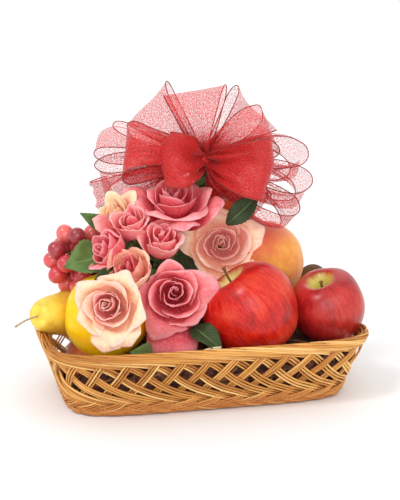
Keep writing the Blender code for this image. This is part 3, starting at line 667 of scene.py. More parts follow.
def round_outline(radius, tall_half, above, below, dimple):
    outline = []
    for k in range(OUTLINE_ROWS + 1):
        angle = pi * k / OUTLINE_ROWS - pi / 2
        height = sin(angle)
        pull = 1 + (above if height > 0 else below) * abs(height) * (1 - abs(height)) * 2
        dent = dimple * max(0.0, 1 - (cos(angle) / 0.45) ** 2) if height > 0 else 0.0
        outline.append((radius * cos(angle) * pull, tall_half * (height - dent)))
    return outline


def skin_finish(name, middle, radius, axis, stops, blush, specks, relief=0.0, pores=0.0, **sockets):
    """Skin in clouds of a few shades, with a tint on the side that looks one way, the fruit's own colour on
    some and painted shade on others, and fine specks, bumps or pores.
    """
    made = Finish(name, **sockets)
    where = fruit_place(made, middle, axis, radius)
    skin = made.ramp(made.mottle(where, 2.2, 4.0), *stops)
    way, low, high, shade = blush
    side = made.plus(looking(made, middle, radius, way), made.times(made.mottle(where, 4.0), 0.5))
    skin = made.mix(made.between(side, low, high), skin, shade)
    scale, share, tint = specks
    made.paint(made.mix(made.times(made.specks(where, scale, 0.05, 0.22), share), skin, tint))
    if pores:
        made.relief(made.specks(where, 34.0, 0.1, 0.5), pores * MM, 0.8)
    else:
        made.relief(made.mottle(where, 60.0, 3.0), relief * MM, 0.6)
    return made.material


def round_fruit(name, slot, fruit, tall, outline, axis, **skin):
    middle, radius = fruit
    bm = new_mesh()
    turned(bm, round_outline(radius, radius * tall, *outline), middle, axis, uneven=0.02)
    piece(name + "_skin", bm, [skin_finish(name + "_skin", middle, radius, axis, **skin)], slot, [name])


def pear():
    bm = new_mesh()
    axis = PEAR_TIP - PEAR_BODY
    outline = [(r * PEAR_RADIUS, z * PEAR_RADIUS) for r, z in PEAR_BELLY]
    outline += [(r * PEAR_RADIUS, z * axis.length) for r, z in PEAR_NECK]
    turned(bm, outline, PEAR_BODY, axis, uneven=0.03)
    tip = PEAR_TIP - axis.normalized() * 2 * MM
    path = curve_through([tip, tip + mm(-11, -4, -2), tip + mm(-22, -7, -7)], 5)
    rod(bm, path, [1.3 * MM] + [0.8 * MM] * (len(path) - 3) + [0.9 * MM, 1.1 * MM], 10, material=1)
    skin = skin_finish(
        "pear_skin", PEAR_BODY, PEAR_RADIUS, axis,
        stops=((0.3, (232, 184, 56)), (0.55, (248, 214, 78)), (0.8, (252, 226, 104))),
        # The side tint makes the pear darker and browner towards its bottom
        blush=((-0.1, -0.3, -0.9), 0.85, 1.7, (206, 140, 44)), specks=(20.0, 0.45, (160, 106, 40)),
        relief=0.12, Roughness=0.42, Subsurface_Weight=0.15, Subsurface_Scale=0.006,
    )
    stalk = wood_finish("pear_stalk", (206, 180, 152), (146, 112, 86))
    piece("pear_skin", bm, [skin, stalk], "pear_skin", ["pear"])


def fruits():
    stalk = wood_finish("fruit_stalk", (150, 110, 60), (78, 52, 26))
    for name, values in APPLES.items():
        apple(name, stalk, **values)
    for name, values in ROUND_FRUITS.items():
        round_fruit(name, **values)
    pear()
    grapes()


# Grapes: the bunch's middle and half sizes, and each berry
BUNCH = mm(-106, 28, 121)
BUNCH_HALF = mm(24, 17, 29)
GRAPE = 8.4 * MM
GRAPE_ROWS = 5


def grape_finish():
    made = Finish("grape_skin", Subsurface_Weight=0.25, Subsurface_Scale=0.004, Coat_Weight=0.3,
                  Subsurface_Radius=(1.0, 0.25, 0.15))
    [tone] = made.attributes("tone")
    bloom = made.mottle(made.place(), 160.0, 3.0)
    skin = made.ramp(tone, (0.0, (132, 30, 42)), (0.5, (198, 58, 66)), (1.0, (232, 104, 98)))
    made.paint(made.mix(made.between(bloom, 0.5, 0.8, 0.0, 0.4), skin, (214, 140, 140)))
    made.rough(bloom, 0.16, 0.42)
    return made.material


def grapes():
    bm = new_mesh()
    places = [BUNCH + mm(0, 0, z) for z in (-14, 0, 12)]
    for row in range(GRAPE_ROWS):
        lift = (row + 0.5) / GRAPE_ROWS * 2 - 1
        ring = (1 - lift * lift) ** 0.5
        berries = max(3, round(5 * ring))
        for k in range(berries):
            angle = 2 * pi * (k + 0.5 * (row % 2)) / berries + 0.35
            way = Vector((ring * cos(angle), ring * sin(angle), lift))
            places.append(BUNCH + Vector(a * b for a, b in zip(way, BUNCH_HALF)))
    for place in places:
        part = new_mesh()
        bmesh.ops.create_icosphere(part, subdivisions=3, radius=GRAPE * draw.uniform(0.97, 1.07))
        stretch = Matrix.Diagonal((0.97, 0.97, draw.uniform(1.03, 1.12), 1))
        turn = (place - BUNCH).to_track_quat("Z", "Y").to_matrix().to_4x4()
        bmesh.ops.transform(part, matrix=Matrix.Translation(place) @ turn @ stretch, verts=part.verts)
        mark(part, tone=draw.random())
        append(bm, part)
        stem = curve_through([BUNCH, BUNCH.lerp(place, 0.5) + UP * 2 * MM, place], 3)
        rod(bm, stem, 0.8 * MM, 6, material=1)
    stem = wood_finish("grape_stem", (142, 130, 74), (84, 72, 36))
    piece("grape_berries", bm, [grape_finish(), stem], "grape_skin", ["grapes"])


# Roses

# Middle of the face, turn to the right and tilt up of the way it faces, radius, depth, outer petals
# and the first one's turn, then any longer petals as turn, length, drop and half width in lengths
ROSES = {
    "rose_1_top": ((-21, -6, 185), (2, 64), 33, 32, 5, 90, (95, 42, 0.0, 0.4), (180, 40, 0.1, 0.4),
                   (355, 44, 0.2, 0.4), (280, 38, 0.4, 0.45)),
    "rose_2_back_left": ((-78, 6, 170), (-30, 40), 18, 24, 4, 40),
    "rose_3_small": ((-66, -20, 170), (-12, 58), 17, 29, 4, 180, (175, 38, 0.3, 0.3)),
    "rose_4_bud": ((-41, -35, 155), (2, 52), 19, 30, 4, 250),
    "rose_5_right": ((24, 2, 134), (4, 16), 36, 31, 5, 20, (212, 45, 0.3, 0.42), (250, 42, 0.3, 0.45),
                     (165, 42, 0.1, 0.45), (320, 40, 0.3, 0.45)),
    "rose_6_left": ((-95, -28, 143), (-50, 28), 19, 26, 4, 100),
    "rose_7_mid_left": ((-76, -53, 132), (-22, 40), 20, 27, 4, 330),
    "rose_8_front": ((-37, -64, 102), (4, 18), 31, 33, 5, 90, (270, 55, 0.5, 0.42)),
    "rose_9_low_left": ((-96, -82, 101), (-12, 14), 28, 23, 5, 210, (262, 38, 0.3, 0.4), (300, 36, 0.4, 0.4)),
}
CREAM_ROSES = ("rose_2_back_left", "rose_5_right", "rose_9_low_left")
CRUMPLED_ROSES = ("rose_6_left", "rose_2_back_left")
# How far a bud stands to the right of its rose's middle and above it, in millimetres
BUDS = {"rose_1_top": (-6, 8), "rose_5_right": (0, 3), "rose_8_front": (3, 8), "rose_9_low_left": (-5, 4)}
# Rings of petals from the bud out: count, distance from the axis, half turn, lift, curl, point;
# a count of 0 stands for the rose's own number of outer petals
BIG_ROSE = [
    (1, 0.04, 2.9, 0.04, 0.0, 0.0), (1, 0.12, 2.6, 0.07, 0.02, 0.1), (2, 0.22, 1.8, 0.07, 0.04, 0.1),
    (3, 0.37, 1.45, 0.05, 0.09, 0.1), (3, 0.56, 1.35, 0.0, 0.18, 0.2), (0, 0.77, 0.95, -0.12, 0.32, 0.34),
]
SMALL_ROSE = [
    (1, 0.05, 2.9, 0.05, 0.0, 0.0), (1, 0.18, 2.5, 0.07, 0.03, 0.1), (2, 0.36, 1.8, 0.07, 0.06, 0.1),
    (3, 0.58, 1.4, 0.03, 0.12, 0.14), (0, 0.82, 1.1, -0.05, 0.22, 0.2),
]
BIG_RADIUS = 25
RING_TURN = 0.9  # from one ring's first petal to the next ring's
CREASE_DEPTH, CREASE_SHARPNESS = 1.3 * MM, 5
PETAL_THICK = 0.45 * MM
SEPALS = 5
FOAM_MIDDLE = mm(-30, 26, 40)

# Shades at a petal's foot, over its body and where it pales: the dark foot is painted shade where the petals
# fold into one another, the paling towards the rim the cloth's own dye
DEEP_PINK = (168, 10, 26), (218, 76, 86), (236, 130, 134)
DUSTY_PINK = (196, 56, 70), (228, 120, 124), (242, 168, 162)
WINE_PINK = (182, 42, 58), (212, 96, 104), (232, 146, 146)
CREAM = (240, 164, 134), (246, 200, 158), (251, 215, 177)
# The cream painted lighter: painted light for rose 5, which sits in the bow's shade
CREAM_PAINTED_LIGHTER = (246, 184, 150), (251, 216, 178), (254, 230, 196)
# Shades of the painted light that the petals emit
PINK_PAINTED_GLOW, ROSY_PAINTED_GLOW, CREAM_PAINTED_GLOW = (220, 60, 76), (240, 164, 148), (236, 150, 120)
# The bud's and the outer petals' shades, the rim's, and the painted light that the petals emit of their own,
# lifting dark folds and roses in shade: its shade and strength
PETAL_CLOTHS = {
    "pink_satin": (DEEP_PINK, DEEP_PINK, (242, 174, 178), PINK_PAINTED_GLOW, 0.09),
    "rosy_satin": (DEEP_PINK, DUSTY_PINK, (246, 188, 188), PINK_PAINTED_GLOW, 0.12),
    "cream_satin": (DUSTY_PINK, CREAM, (246, 200, 190), CREAM_PAINTED_GLOW, 0.09),
    # A lighter copy of the cream satin that emits more: painted light for rose 5 in shade
    "cream_satin_painted_lighter": (WINE_PINK, CREAM_PAINTED_LIGHTER, (250, 216, 200), ROSY_PAINTED_GLOW, 0.16),
    "blush_satin": (DEEP_PINK, CREAM, (240, 150, 150), PINK_PAINTED_GLOW, 0.09),
    "peach_satin": (CREAM, CREAM, (250, 222, 188), CREAM_PAINTED_GLOW, 0.09),
}
# The cloth of each rose that isn't of pink satin
ROSE_CLOTHS = {
    "rose_2_back_left": "peach_satin", "rose_3_small": "rosy_satin", "rose_4_bud": "rosy_satin",
    "rose_5_right": "cream_satin_painted_lighter", "rose_7_mid_left": "blush_satin", "rose_9_low_left": "cream_satin",
}


def petal_finish(name, inner, outer, rim, painted_glow, painted_glow_strength):
    """Satin cloth, its shades drifting from foot to rim, with fine veins and creases; the dark foot is
    painted shade in the folds, and the emission lights the cloth as painted light.
    """
    # The emission is painted light: the cloth lights itself to lift its folds and the roses in shade
    made = Finish(name, Roughness=0.7, Sheen_Weight=0.04, Specular_IOR_Level=0.2, Subsurface_Weight=0.2,
                  Subsurface_Scale=0.003, Subsurface_Radius=(1.0, 0.5, 0.4), Emission_Color=colour(*painted_glow),
                  Emission_Strength=painted_glow_strength)
    along, across, tone, deep = made.attributes("along", "across", "tone", "deep")
    where = made.place()
    drift = made.minus(made.mottle(where, 60.0, 3.0), 0.5)
    way = made.plus(along, made.times(drift, 0.3))
    inside = made.between(made.plus(deep, made.times(drift, 0.35)), 0.30, 0.62)
    outer_shade = made.ramp(way, *zip((0.20, 0.52, 0.84), outer))
    # The bud's petals keep their dark foot further up, painted shade deep in the bud; on the two-tone roses
    # the bud is also the cloth's own pinker colour
    shade = made.mix(inside, outer_shade, made.ramp(way, *zip((0.42, 0.74, 0.97), inner)))
    veins = made.mottle(made.joined(made.times(across, 26), made.times(along, 4), tone), 1.0, 5.0, 0.7)
    shade = made.mix(made.between(veins, 0.48, 0.72, 0.0, 0.5), shade, inner[1])
    shade = made.mix(made.between(made.mottle(where, 420.0, 4.0, 0.7), 0.46, 0.66, 0.0, 0.35), shade, rim)
    made.paint(made.mix(made.between(way, 0.84, 1.0, 0.0, 0.7), shade, rim))
    made.relief(made.plus(veins, made.times(made.mottle(where, 900.0, 2.0), 0.2)), 0.9 * MM, 0.9)
    return made.material


def facing(turn, tilt):
    turn, tilt = radians(turn), radians(tilt)
    return (FRONT * cos(turn) + RIGHT * sin(turn)) * cos(tilt) + UP * sin(tilt)


def rose_petal(bm, place, radius, depth, at, wide, ring, lift, curl, tip, seed, full, crumple):
    """A cupped petal: ring is its distance from the axis in radii, wide half its turn round it,
    tip how far its middle is drawn out to a point and full how soon the cup is at its width."""
    slant = 0.22 * (1 - ring) + 0.04

    def surface(u, v):
        across = 2 * v - 1
        point = tip * max(0.0, 1 - abs(across) * 1.5) ** 1.6
        s = u * (1 - 0.30 * abs(across) ** 3 + point)
        belly = sin(min(s * full, 1.0) * pi / 2)
        out = radius * (0.06 + (ring - 0.06) * belly)
        out *= 1 - 0.22 * (1 - ring) * smooth_step(s * 2 - 1)
        height = depth * (-0.98 + (0.98 + lift) * s**1.1)
        lip = max(0.0, (u - 0.52) / 0.48)
        rolled = curl * (1 - 0.6 * across * across + 2 * point)
        out += radius * rolled * lip**1.6
        height -= depth * rolled * 0.75 * lip**3.2
        out *= 1 + slant * across * smooth_step(s * 1.5)
        ripple = noise_at(across * 1.5, s * 1.2, seed) * 0.13 * crumple * smooth_step(s * 1.4 - 0.3)
        crease = crease_at(across * 5, s * 1.8, seed + 20)
        out += radius * ripple * (0.3 + ring) - CREASE_DEPTH * crease * smooth_step(s * 2 - 0.8)
        half = wide * (0.40 + 0.60 * sin(min(s * 1.5, 1.0) * pi / 2))
        angle = at + half * across
        height += depth * (0.6 * ripple + 0.05 * lip * sin(across * 3.4 + seed))
        return place @ Vector((out * cos(angle), out * sin(angle), height))

    cloth(bm, surface, 15, 20, tone=seed % 1, deep=max(0.0, 1 - ring))


def open_petal(bm, place, length, depth, turn, drop, wide, seed):
    """An outer petal that reaches past the cup and falls open to a soft point, its sides rolled back."""
    a, b = Vector((0.05 * length, -0.9 * depth)), Vector((0.55 * length, -1.0 * depth))
    c, d = Vector((0.70 * length, (0.15 - drop * 0.4) * depth)), Vector((length, (0.1 - drop) * depth))

    def surface(u, v):
        across = 2 * v - 1
        s = u * (1 - 0.20 * abs(across) ** 1.5)
        t = 1 - s
        here = a * t**3 + b * 3 * t * t * s + c * 3 * t * s * s + d * s**3
        half = length * wide * sin(pi * min(0.10 + s * 0.78, 0.93)) ** 0.55 * across
        wave = noise_at(across * 1.4, s * 1.8, seed) * 0.16 * depth * s
        roll = depth * (0.16 * smooth_step((s - 0.72) * 4) + 0.20 * abs(across) ** 3 * s)
        crease = crease_at(across * 4, s * 2.0, seed + 20)
        lift = here.y - abs(half) * 0.15 + wave - roll - CREASE_DEPTH * crease * s
        spot = Vector((here.x * cos(turn), here.x * sin(turn), lift))
        return place @ (spot + Vector((-sin(turn), cos(turn), 0)) * half)

    cloth(bm, surface, 14, 14, tone=seed % 1)


def rose(name, spec, finish, greens):
    middle, (turn, tilt), radius, depth, petals, first = spec[:6]
    big = radius > BIG_RADIUS
    radius, depth = radius * MM, depth * MM
    way = facing(turn, tilt)
    side = UP.cross(way).normalized()
    place = Matrix.Translation(Vector(middle) * MM) @ upright(side, way.cross(side), way)
    bm = new_mesh()
    start = radians(first) - RING_TURN
    bud = Vector((*BUDS.get(name, (0, 0)), 0)) * MM
    full = 1.4 if big else 1.9
    crumple = 2.6 if name in CRUMPLED_ROSES else 1.0
    for count, ring, wide, lift, curl, point in BIG_ROSE if big else SMALL_ROSE:
        start += RING_TURN
        if not count:
            count, start = petals, radians(first)
        here = place @ Matrix.Translation(bud * (1 - ring))
        for k in range(count):
            at = start + 2 * pi * k / count + draw.uniform(-0.15, 0.15)
            seed = draw.uniform(0, 50)
            rose_petal(
                bm, here, radius, depth, at, wide * draw.uniform(0.92, 1.1), ring * draw.uniform(0.92, 1.08),
                lift + draw.uniform(-0.05, 0.05), curl * draw.uniform(0.7, 1.3),
                point * draw.uniform(0.5, 1.5), seed, full, crumple,
            )
    # The heart closes the bud and takes the dark foot's painted shade
    heart = place @ Matrix.Translation(bud * 0.96)
    rod(bm, [heart @ Vector((0, 0, depth * rise)) for rise in (-0.9, -0.5, -0.1)], radius * 0.05, 8)
    for turn_of_petal, length, drop, wide in spec[6:]:
        open_petal(bm, place, length * MM, depth, radians(turn_of_petal), drop, wide, draw.uniform(0, 50))
    slot = "cream_petal" if name in CREAM_ROSES else "pink_petal"
    thickened(subdivided(piece(name + "_petals", bm, [finish], slot, [name])), PETAL_THICK)
    rose_greens(greens, place, radius, depth, way)


def rose_greens(bm, place, radius, depth, way):
    """The cup of green under a rose, its five pointed sepals, and the stem into the foam."""
    base = place @ Vector((0, 0, -depth * 0.98))
    out = Vector((base.x - FOAM_MIDDLE.x, base.y - FOAM_MIDDLE.y, 0)).normalized()
    foot = FOAM_MIDDLE + out * 20 * MM
    foot.z = min(base.z - 4 * MM, FOAM_MIDDLE.z + 80 * MM)
    bend = base - way * 9 * MM + (foot - base) * 0.15
    path = curve_through([base + way * 3 * MM, base - way * 4 * MM, bend, foot], 3)
    rod(bm, path, [3.6 * MM, 3.4 * MM, 3.0 * MM, 2.4 * MM] + [2.0 * MM] * (len(path) - 4), 10)
    for k in range(SEPALS):
        angle = 2 * pi * k / SEPALS

        def surface(u, v, angle=angle):
            across = 2 * v - 1
            half = radius * 0.20 * sin(pi * (0.15 + 0.84 * u)) * across
            reach = radius * (0.08 + 0.72 * sin(u * pi / 2))
            height = depth * (-1.03 + 0.42 * u * u)
            spot = Vector((reach * cos(angle), reach * sin(angle), height + abs(half) * 0.3))
            return place @ (spot + Vector((-sin(angle), cos(angle), 0)) * half)

        cloth(bm, surface, 6, 4)


# Leaves: foot, tip, greatest width, way the upper face looks
LEAVES = {
    "leaf_upper_right": ((24, -14, 156), (55, -10, 180), 20, (0.1, -0.9, 0.5)),
    "leaf_upper_left": ((-74, 21, 148), (-106, 16, 167), 16, (-0.3, -0.9, 0.3)),
    "leaf_left": ((-84, -8, 130), (-125, -16, 124), 34, (-0.3, -0.8, 0.5)),
    "leaf_low_left": ((-76, -32, 122), (-106, -44, 110), 16, (-0.2, -0.8, 0.6)),
    "leaf_middle": ((-54, -52, 49), (-79, -80, 61), 18, (0.0, -0.9, 0.4)),
    "leaf_front": ((-18, -50, 71), (4, -78, 54), 22, (0.1, -0.8, 0.5)),
    "leaf_back_1": ((-34, 46, 124), (-66, 78, 112), 30, (-0.1, 0.8, 0.6)),
    "leaf_back_2": ((-18, 60, 104), (-6, 88, 84), 28, (0.2, 0.9, 0.3)),
    "leaf_back_3": ((-56, 34, 122), (-86, 62, 122), 24, (-0.4, 0.7, 0.6)),
    "leaf_back_4": ((-14, 44, 118), (4, 76, 142), 26, (0.1, 0.9, 0.4)),
}
DARK_LEAVES = {"leaf_upper_right": -1.2, "leaf_low_left": -0.6, "leaf_front": -0.5}
TISSUE = (-10, -66, 46), (2, -80, 61), 14, (0.0, -0.9, 0.4)
LEAF_THICK, THIN = 0.5 * MM, 0.3 * MM


def leaf_finish():
    made = Finish("cloth_leaf", Roughness=0.52, Specular_IOR_Level=0.35, Sheen_Weight=0.1)
    along, across, tone = made.attributes("along", "across", "tone")
    off = made.math("ABSOLUTE", made.minus(across, 0.5))
    chevron = made.minus(made.times(along, 46), made.times(off, 26))
    vein = made.between(made.math("ABSOLUTE", made.math("SINE", chevron)), 0.22, 0.0)
    veins = made.math("MAXIMUM", made.times(vein, 0.55), made.between(off, 0.035, 0.01))
    clouds = made.mottle(made.place(), 90.0, 3.0)
    green = made.ramp(
        made.plus(made.times(clouds, 0.6), made.times(tone, 0.4)),
        (0.0, (40, 54, 22)), (0.25, (50, 76, 30)), (0.5, (78, 106, 46)), (0.8, (110, 136, 70)),
    )
    made.paint(made.mix(made.times(veins, 0.5), green, (128, 160, 92)))
    made.relief(made.minus(made.times(clouds, 0.2), veins), 0.5 * MM, 0.7)
    return made.material


def leaf(bm, spec, rows=26, columns=10, serration=0.05, tone=None):
    foot, tip, width, up = spec
    foot, tip, width = Vector(foot) * MM, Vector(tip) * MM, width * MM
    along = tip - foot
    side = along.cross(Vector(up).normalized()).normalized()
    up = side.cross(along).normalized()
    teeth = max(6, round(along.length / (2.6 * MM)))

    def surface(u, v):
        across = 2 * v - 1
        half = width * 0.5 * max(sin(pi * (0.03 + 0.96 * u) ** 0.85), 0.03)
        half *= 1 + serration * (abs(across) ** 6) * sin(2 * pi * teeth * u)
        lift = along.length * (0.16 * sin(pi * u)) + half * 0.30 * abs(across)
        wave = half * 0.14 * sin(9 * u + 2 * across)
        rib = -0.6 * MM * max(0.0, 1 - abs(across) * 6)
        return foot + along * u + side * half * across + up * (lift + wave + rib)

    cloth(bm, surface, rows, columns, tone=draw.random() if tone is None else tone)


def posy():
    cloths = {name: petal_finish(name, *values) for name, values in PETAL_CLOTHS.items()}
    greens = new_mesh()
    for name, spec in ROSES.items():
        rose(name, spec, cloths[ROSE_CLOTHS.get(name, "pink_satin")], greens)
    green = leaf_finish()
    thickened(piece("rose_greens", greens, [green], "green_leaf"), THIN)
    for name, spec in LEAVES.items():
        bm = new_mesh()
        leaf(bm, spec, tone=DARK_LEAVES.get(name))
        thickened(piece(name + "_cloth", bm, [green], "green_leaf", [name]), LEAF_THICK)
    return green


# The ribbon bow

KNOT, KNOT_RADIUS = mm(10, 12, 213), 7 * MM
RIBBON_WIDTH = 56 * MM
# Turn in the front view from the right, lean to the front, length, how far the two runs part,
# roll about the loop's own length, share of the width that shows, how closed its weave looks and how much of
# the darker gathered colour it takes, that partly painted shade, how slowly it opens from the knot
LOOPS = {
    "top": (99, 4, 64, 18, 6, 1.04, 0.05, 1.4),
    "top_left": (138, -28, 80, 18, 0, 1.0, 0.0, 1.4),
    "top_right": (43, -30, 72, 18, 0, 0.95, 0.0, 1.4),
    "upper_right": (28, 4, 66, 20, -50, 0.9, 0.1, 1.2),
    "left": (171, 6, 74, 20, 38, 1.0, 0.35, 1.2),
    "far_left": (170, -20, 104, 13, 48, 0.75, 0.0, 1.4),
    "lower_left": (192, -8, 100, 14, -42, 0.75, 0.0, 1.4),
    "front_left": (174, 42, 46, 16, 0, 0.85, 0.6, 0.7),
    "front_right": (-4, 34, 68, 18, 0, 0.95, 0.5, 1.1),
    "far_right": (-3, -24, 98, 20, 58, 0.75, 0.0, 1.4),
    "lower_right": (-21, -8, 98, 18, 64, 0.75, 0.0, 1.4),
    "low_right": (-38, 0, 96, 16, 56, 0.75, 0.1, 1.4),
    "low_back": (-68, -25, 48, 13, 0, 0.75, 0.7, 1.4),
}
# Turn and lean, length, share of the width that shows
TAILS = {"left": ((200, -14), 114, 0.5), "right": ((-40, 8), 68, 0.5)}
TAIL_CURL, TAIL_ROLL = 9 * MM, 10
LOOP_ROWS, TAIL_ROWS, RIBBON_COLUMNS = 56, 40, 22
WIRE_RADIUS = 0.5 * MM


def ribbon_finish():
    """Sheer organza: a see-through weave that closes up and darkens where it is gathered, the darkening
    partly the colour of stacked layers and partly painted shade in the gathers, and lit a little by painted
    light.
    """
    # The emission is painted light: the ribbon lights itself a little so that its folds stay red
    made = Finish("sheer_organza", Roughness=0.42, Sheen_Weight=0.2, Sheen_Roughness=0.35,
                  Specular_IOR_Level=0.35, Emission_Color=colour(214, 34, 38), Emission_Strength=0.03)
    along, across, deep = made.attributes("along", "across", "deep")
    where = made.joined(along, across, 0)
    crinkle = made.mottle(where, 620.0, 3.0, 0.65)
    threads = made.mottle(made.vector("MULTIPLY", where, (140, 1300, 1)), 1.0, 2.0)
    open_weave = made.ramp(crinkle, (0.3, (186, 22, 30)), (0.55, (214, 42, 44)), (0.8, (232, 78, 70)))
    # Darker where gathered or dense: painted shade in the gathers, with the deeper colour of stacked layers
    stacked_and_painted_shade = made.ramp(crinkle, (0.3, (158, 18, 22)), (0.55, (188, 34, 32)), (0.8, (214, 66, 54)))
    made.paint(made.mix(made.between(deep, 0.1, 0.6), open_weave, stacked_and_painted_shade))
    cover = made.plus(made.between(crinkle, 0.40, 0.64, 0.06, 0.66), made.times(threads, 0.12))
    cover = made.plus(cover, made.times(deep, 1.1))
    made.tree.links.new(made.math("MINIMUM", cover, 0.98), made.shader.inputs["Alpha"])
    made.relief(made.plus(crinkle, threads), 0.2 * MM, 0.7)
    return made.material


def wire_finish():
    made = Finish("ribbon_wire", Roughness=0.5, Specular_IOR_Level=0.3)
    turns = made.mottle(made.place(), 900.0, 2.0)
    made.paint(made.ramp(turns, (0.35, (120, 36, 36)), (0.65, (164, 62, 56))))
    return made.material


def loop_axes(turn, lean, roll):
    """Unit vectors along a loop, across its hollow, and across its ribbon."""
    turn, lean, roll = radians(turn), radians(lean), radians(roll)
    flat = RIGHT * cos(turn) + UP * sin(turn)
    along = flat * cos(lean) + FRONT * sin(lean)
    hollow = (FRONT * cos(lean) - flat * sin(lean)).normalized()
    rolled = Matrix.Rotation(roll, 3, along)
    return along, rolled @ hollow, rolled @ along.cross(hollow)


def pleat(shown, v, phase, gathered):
    """How far a ribbon stands off its middle where it shows narrower: pleats at the knot, then one wave."""
    slack = sqrt(max(RIBBON_WIDTH * RIBBON_WIDTH - shown * shown, 0.0))
    fine = sin(6 * pi * v + phase + 1.2 * sin(2 * pi * v)) / 11
    broad = sin(2 * pi * v + phase * 0.6) / 4
    return slack * (fine * gathered + broad * (1 - gathered))


def run_length(line, steps=60):
    points = [line(k / steps)[0] for k in range(steps + 1)]
    return sum((b - a).length for a, b in zip(points, points[1:]))


def ribbon_piece(name, line, seed, rows, finish, wire, dense=0.0):
    """A wired ribbon: line(u) gives its middle, its hollow side, its across way and the width shown."""
    length = run_length(line)

    def surface(u, v):
        middle, hollow, ribbon, shown = line(u)
        gathered = 1 - smooth_step(shown / RIBBON_WIDTH * 1.5 - 0.45)
        off = pleat(shown, v, seed, gathered)
        crumple = 6 * noise_at(u * 3.5, v * 1.6, seed) + 2.5 * noise_at(u * 9, v * 4, seed)
        off += crumple * MM * min(1.0, shown / RIBBON_WIDTH)
        along_it = 4 * MM * noise_at(u * 3, v * 1.5, seed + 9)
        return middle + hollow * off * 0.85 + ribbon * (shown * (v - 0.5) + along_it)

    bm = new_mesh()
    cloth(bm, surface, rows, RIBBON_COLUMNS, tone=seed % 1)
    along, across, deep = layers(bm, "along", "across", "deep")
    for vert in bm.verts:
        shown = line(vert[along])[3]
        # deep gives a closer weave and the darker gathered colour, partly painted shade in the gathers
        vert[deep] = max(dense, smooth_step(0.95 - shown / RIBBON_WIDTH * 1.6))
        vert[along] *= length
        vert[across] *= RIBBON_WIDTH
    made = piece("ribbon_" + name, bm, [finish], "ribbon", ["bow"])
    edges = new_mesh()
    for v in (0, 1):
        rod(edges, [surface(k / rows, v) for k in range(rows + 1)], WIRE_RADIUS, 6)
    wires = piece("ribbon_wire_" + name, edges, [wire], "ribbon", ["bow"])


def bow():
    finish, wire = ribbon_finish(), wire_finish()
    knot = new_mesh()
    bmesh.ops.create_icosphere(knot, subdivisions=4, radius=KNOT_RADIUS)
    for vert in knot.verts:
        folds = 1 + 0.22 * noise.noise(vert.co * 260) + 0.10 * sin(9 * atan2(vert.co.z, vert.co.x))
        vert.co = KNOT + vert.co * folds
    # The knot takes the darkest gathered colour, painted shade in its tight gathers
    mark(knot, deep=1.0)
    piece("ribbon_knot", knot, [finish], "ribbon", ["bow"])
    for number, (name, (turn, lean, length, part, roll, share, dense, slow)) in enumerate(LOOPS.items()):
        axes = loop_axes(turn, lean, roll)

        def line(u, axes=axes, length=length, part=part, share=share, slow=slow):
            along, hollow, ribbon = axes
            open_out = sin(pi * u)
            reach = length * MM * open_out**1.35
            away = part * MM * sin(2 * pi * u) * (0.35 + 0.65 * open_out)
            shown = RIBBON_WIDTH * share * (0.10 + 0.90 * open_out**slow)
            return KNOT + along * reach + hollow * away, hollow, ribbon, shown

        ribbon_piece(name, line, 1.7 * number + 0.4, LOOP_ROWS, finish, wire, dense)
    for name, ((turn, lean), length, share) in TAILS.items():
        axes = loop_axes(turn, lean, TAIL_ROLL)

        def line(u, axes=axes, length=length, share=share):
            along, hollow, ribbon = axes
            shown = RIBBON_WIDTH * share * (0.16 + 0.84 * sin(pi / 2 * min(1, u * 1.3)))
            straight, curled = min(u / 0.7, 1.0), max(u - 0.7, 0.0) / 0.3 * 1.5 * pi
            reach = (length * MM - TAIL_CURL) * straight + TAIL_CURL * sin(curled)
            away = 9 * MM * sin(1.6 * pi * straight) + TAIL_CURL * (1 - cos(curled))
            return KNOT + along * reach + hollow * away, hollow, ribbon, shown

        ribbon_piece("tail_" + name, line, 3.1 + length, TAIL_ROWS, finish, wire)


# Packing, foam, sticks and paper

STRIPS, STRIP_WIDTH, STRIP_STEP = 1100, 2.4 * MM, 4.5 * MM
ABOVE_ALL = 0.12  # over the packing, where rays start down
FOAM_LEAVES = 320
# Sprigs behind the bow and the upper roses, from the foam up, in millimetres
SPRIGS = (
    ((-16, 38, 126), (0, 40, 160), (8, 24, 192), (6, 18, 206)), ((-20, 38, 128), (-6, 36, 168), (2, 22, 204)),
    ((-14, 42, 122), (12, 44, 160), (22, 28, 186), (18, 20, 200)),
    ((-12, 34, 128), (-2, 34, 158), (2, 26, 184), (6, 20, 200)),
    ((-36, 30, 122), (-42, 24, 146), (-46, 18, 164)), ((-28, 28, 120), (-30, 20, 140), (-32, 14, 154)),
)
SPRIG_LEAF = 15


# Dark maroon-brown paper, its darkness partly painted shade for the basket's inside where the openings show
# it
def packing_finish():
    made = Finish("shredded_packing", Roughness=0.85)
    [tone] = made.attributes("tone")
    clouds = made.mottle(made.place(), 120.0, 4.0)
    mixed = made.times(made.plus(tone, clouds), 0.5)
    made.paint(made.ramp(mixed, (0.2, (58, 26, 20)), (0.5, (98, 54, 38)), (0.8, (150, 104, 70))))
    made.relief(clouds, 1.5 * MM)
    return made.material


def surface_of(node):
    """What a ray meets on a node of the frame."""
    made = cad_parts[node]
    bm = bmesh.new()
    bm.from_mesh(made.data)
    bm.transform(made.matrix_world)
    found = BVHTree.FromBMesh(bm)
    bm.free()
    return found


def any_way():
    return Vector((draw.gauss(0, 1), draw.gauss(0, 1), draw.gauss(0, 1))).normalized()


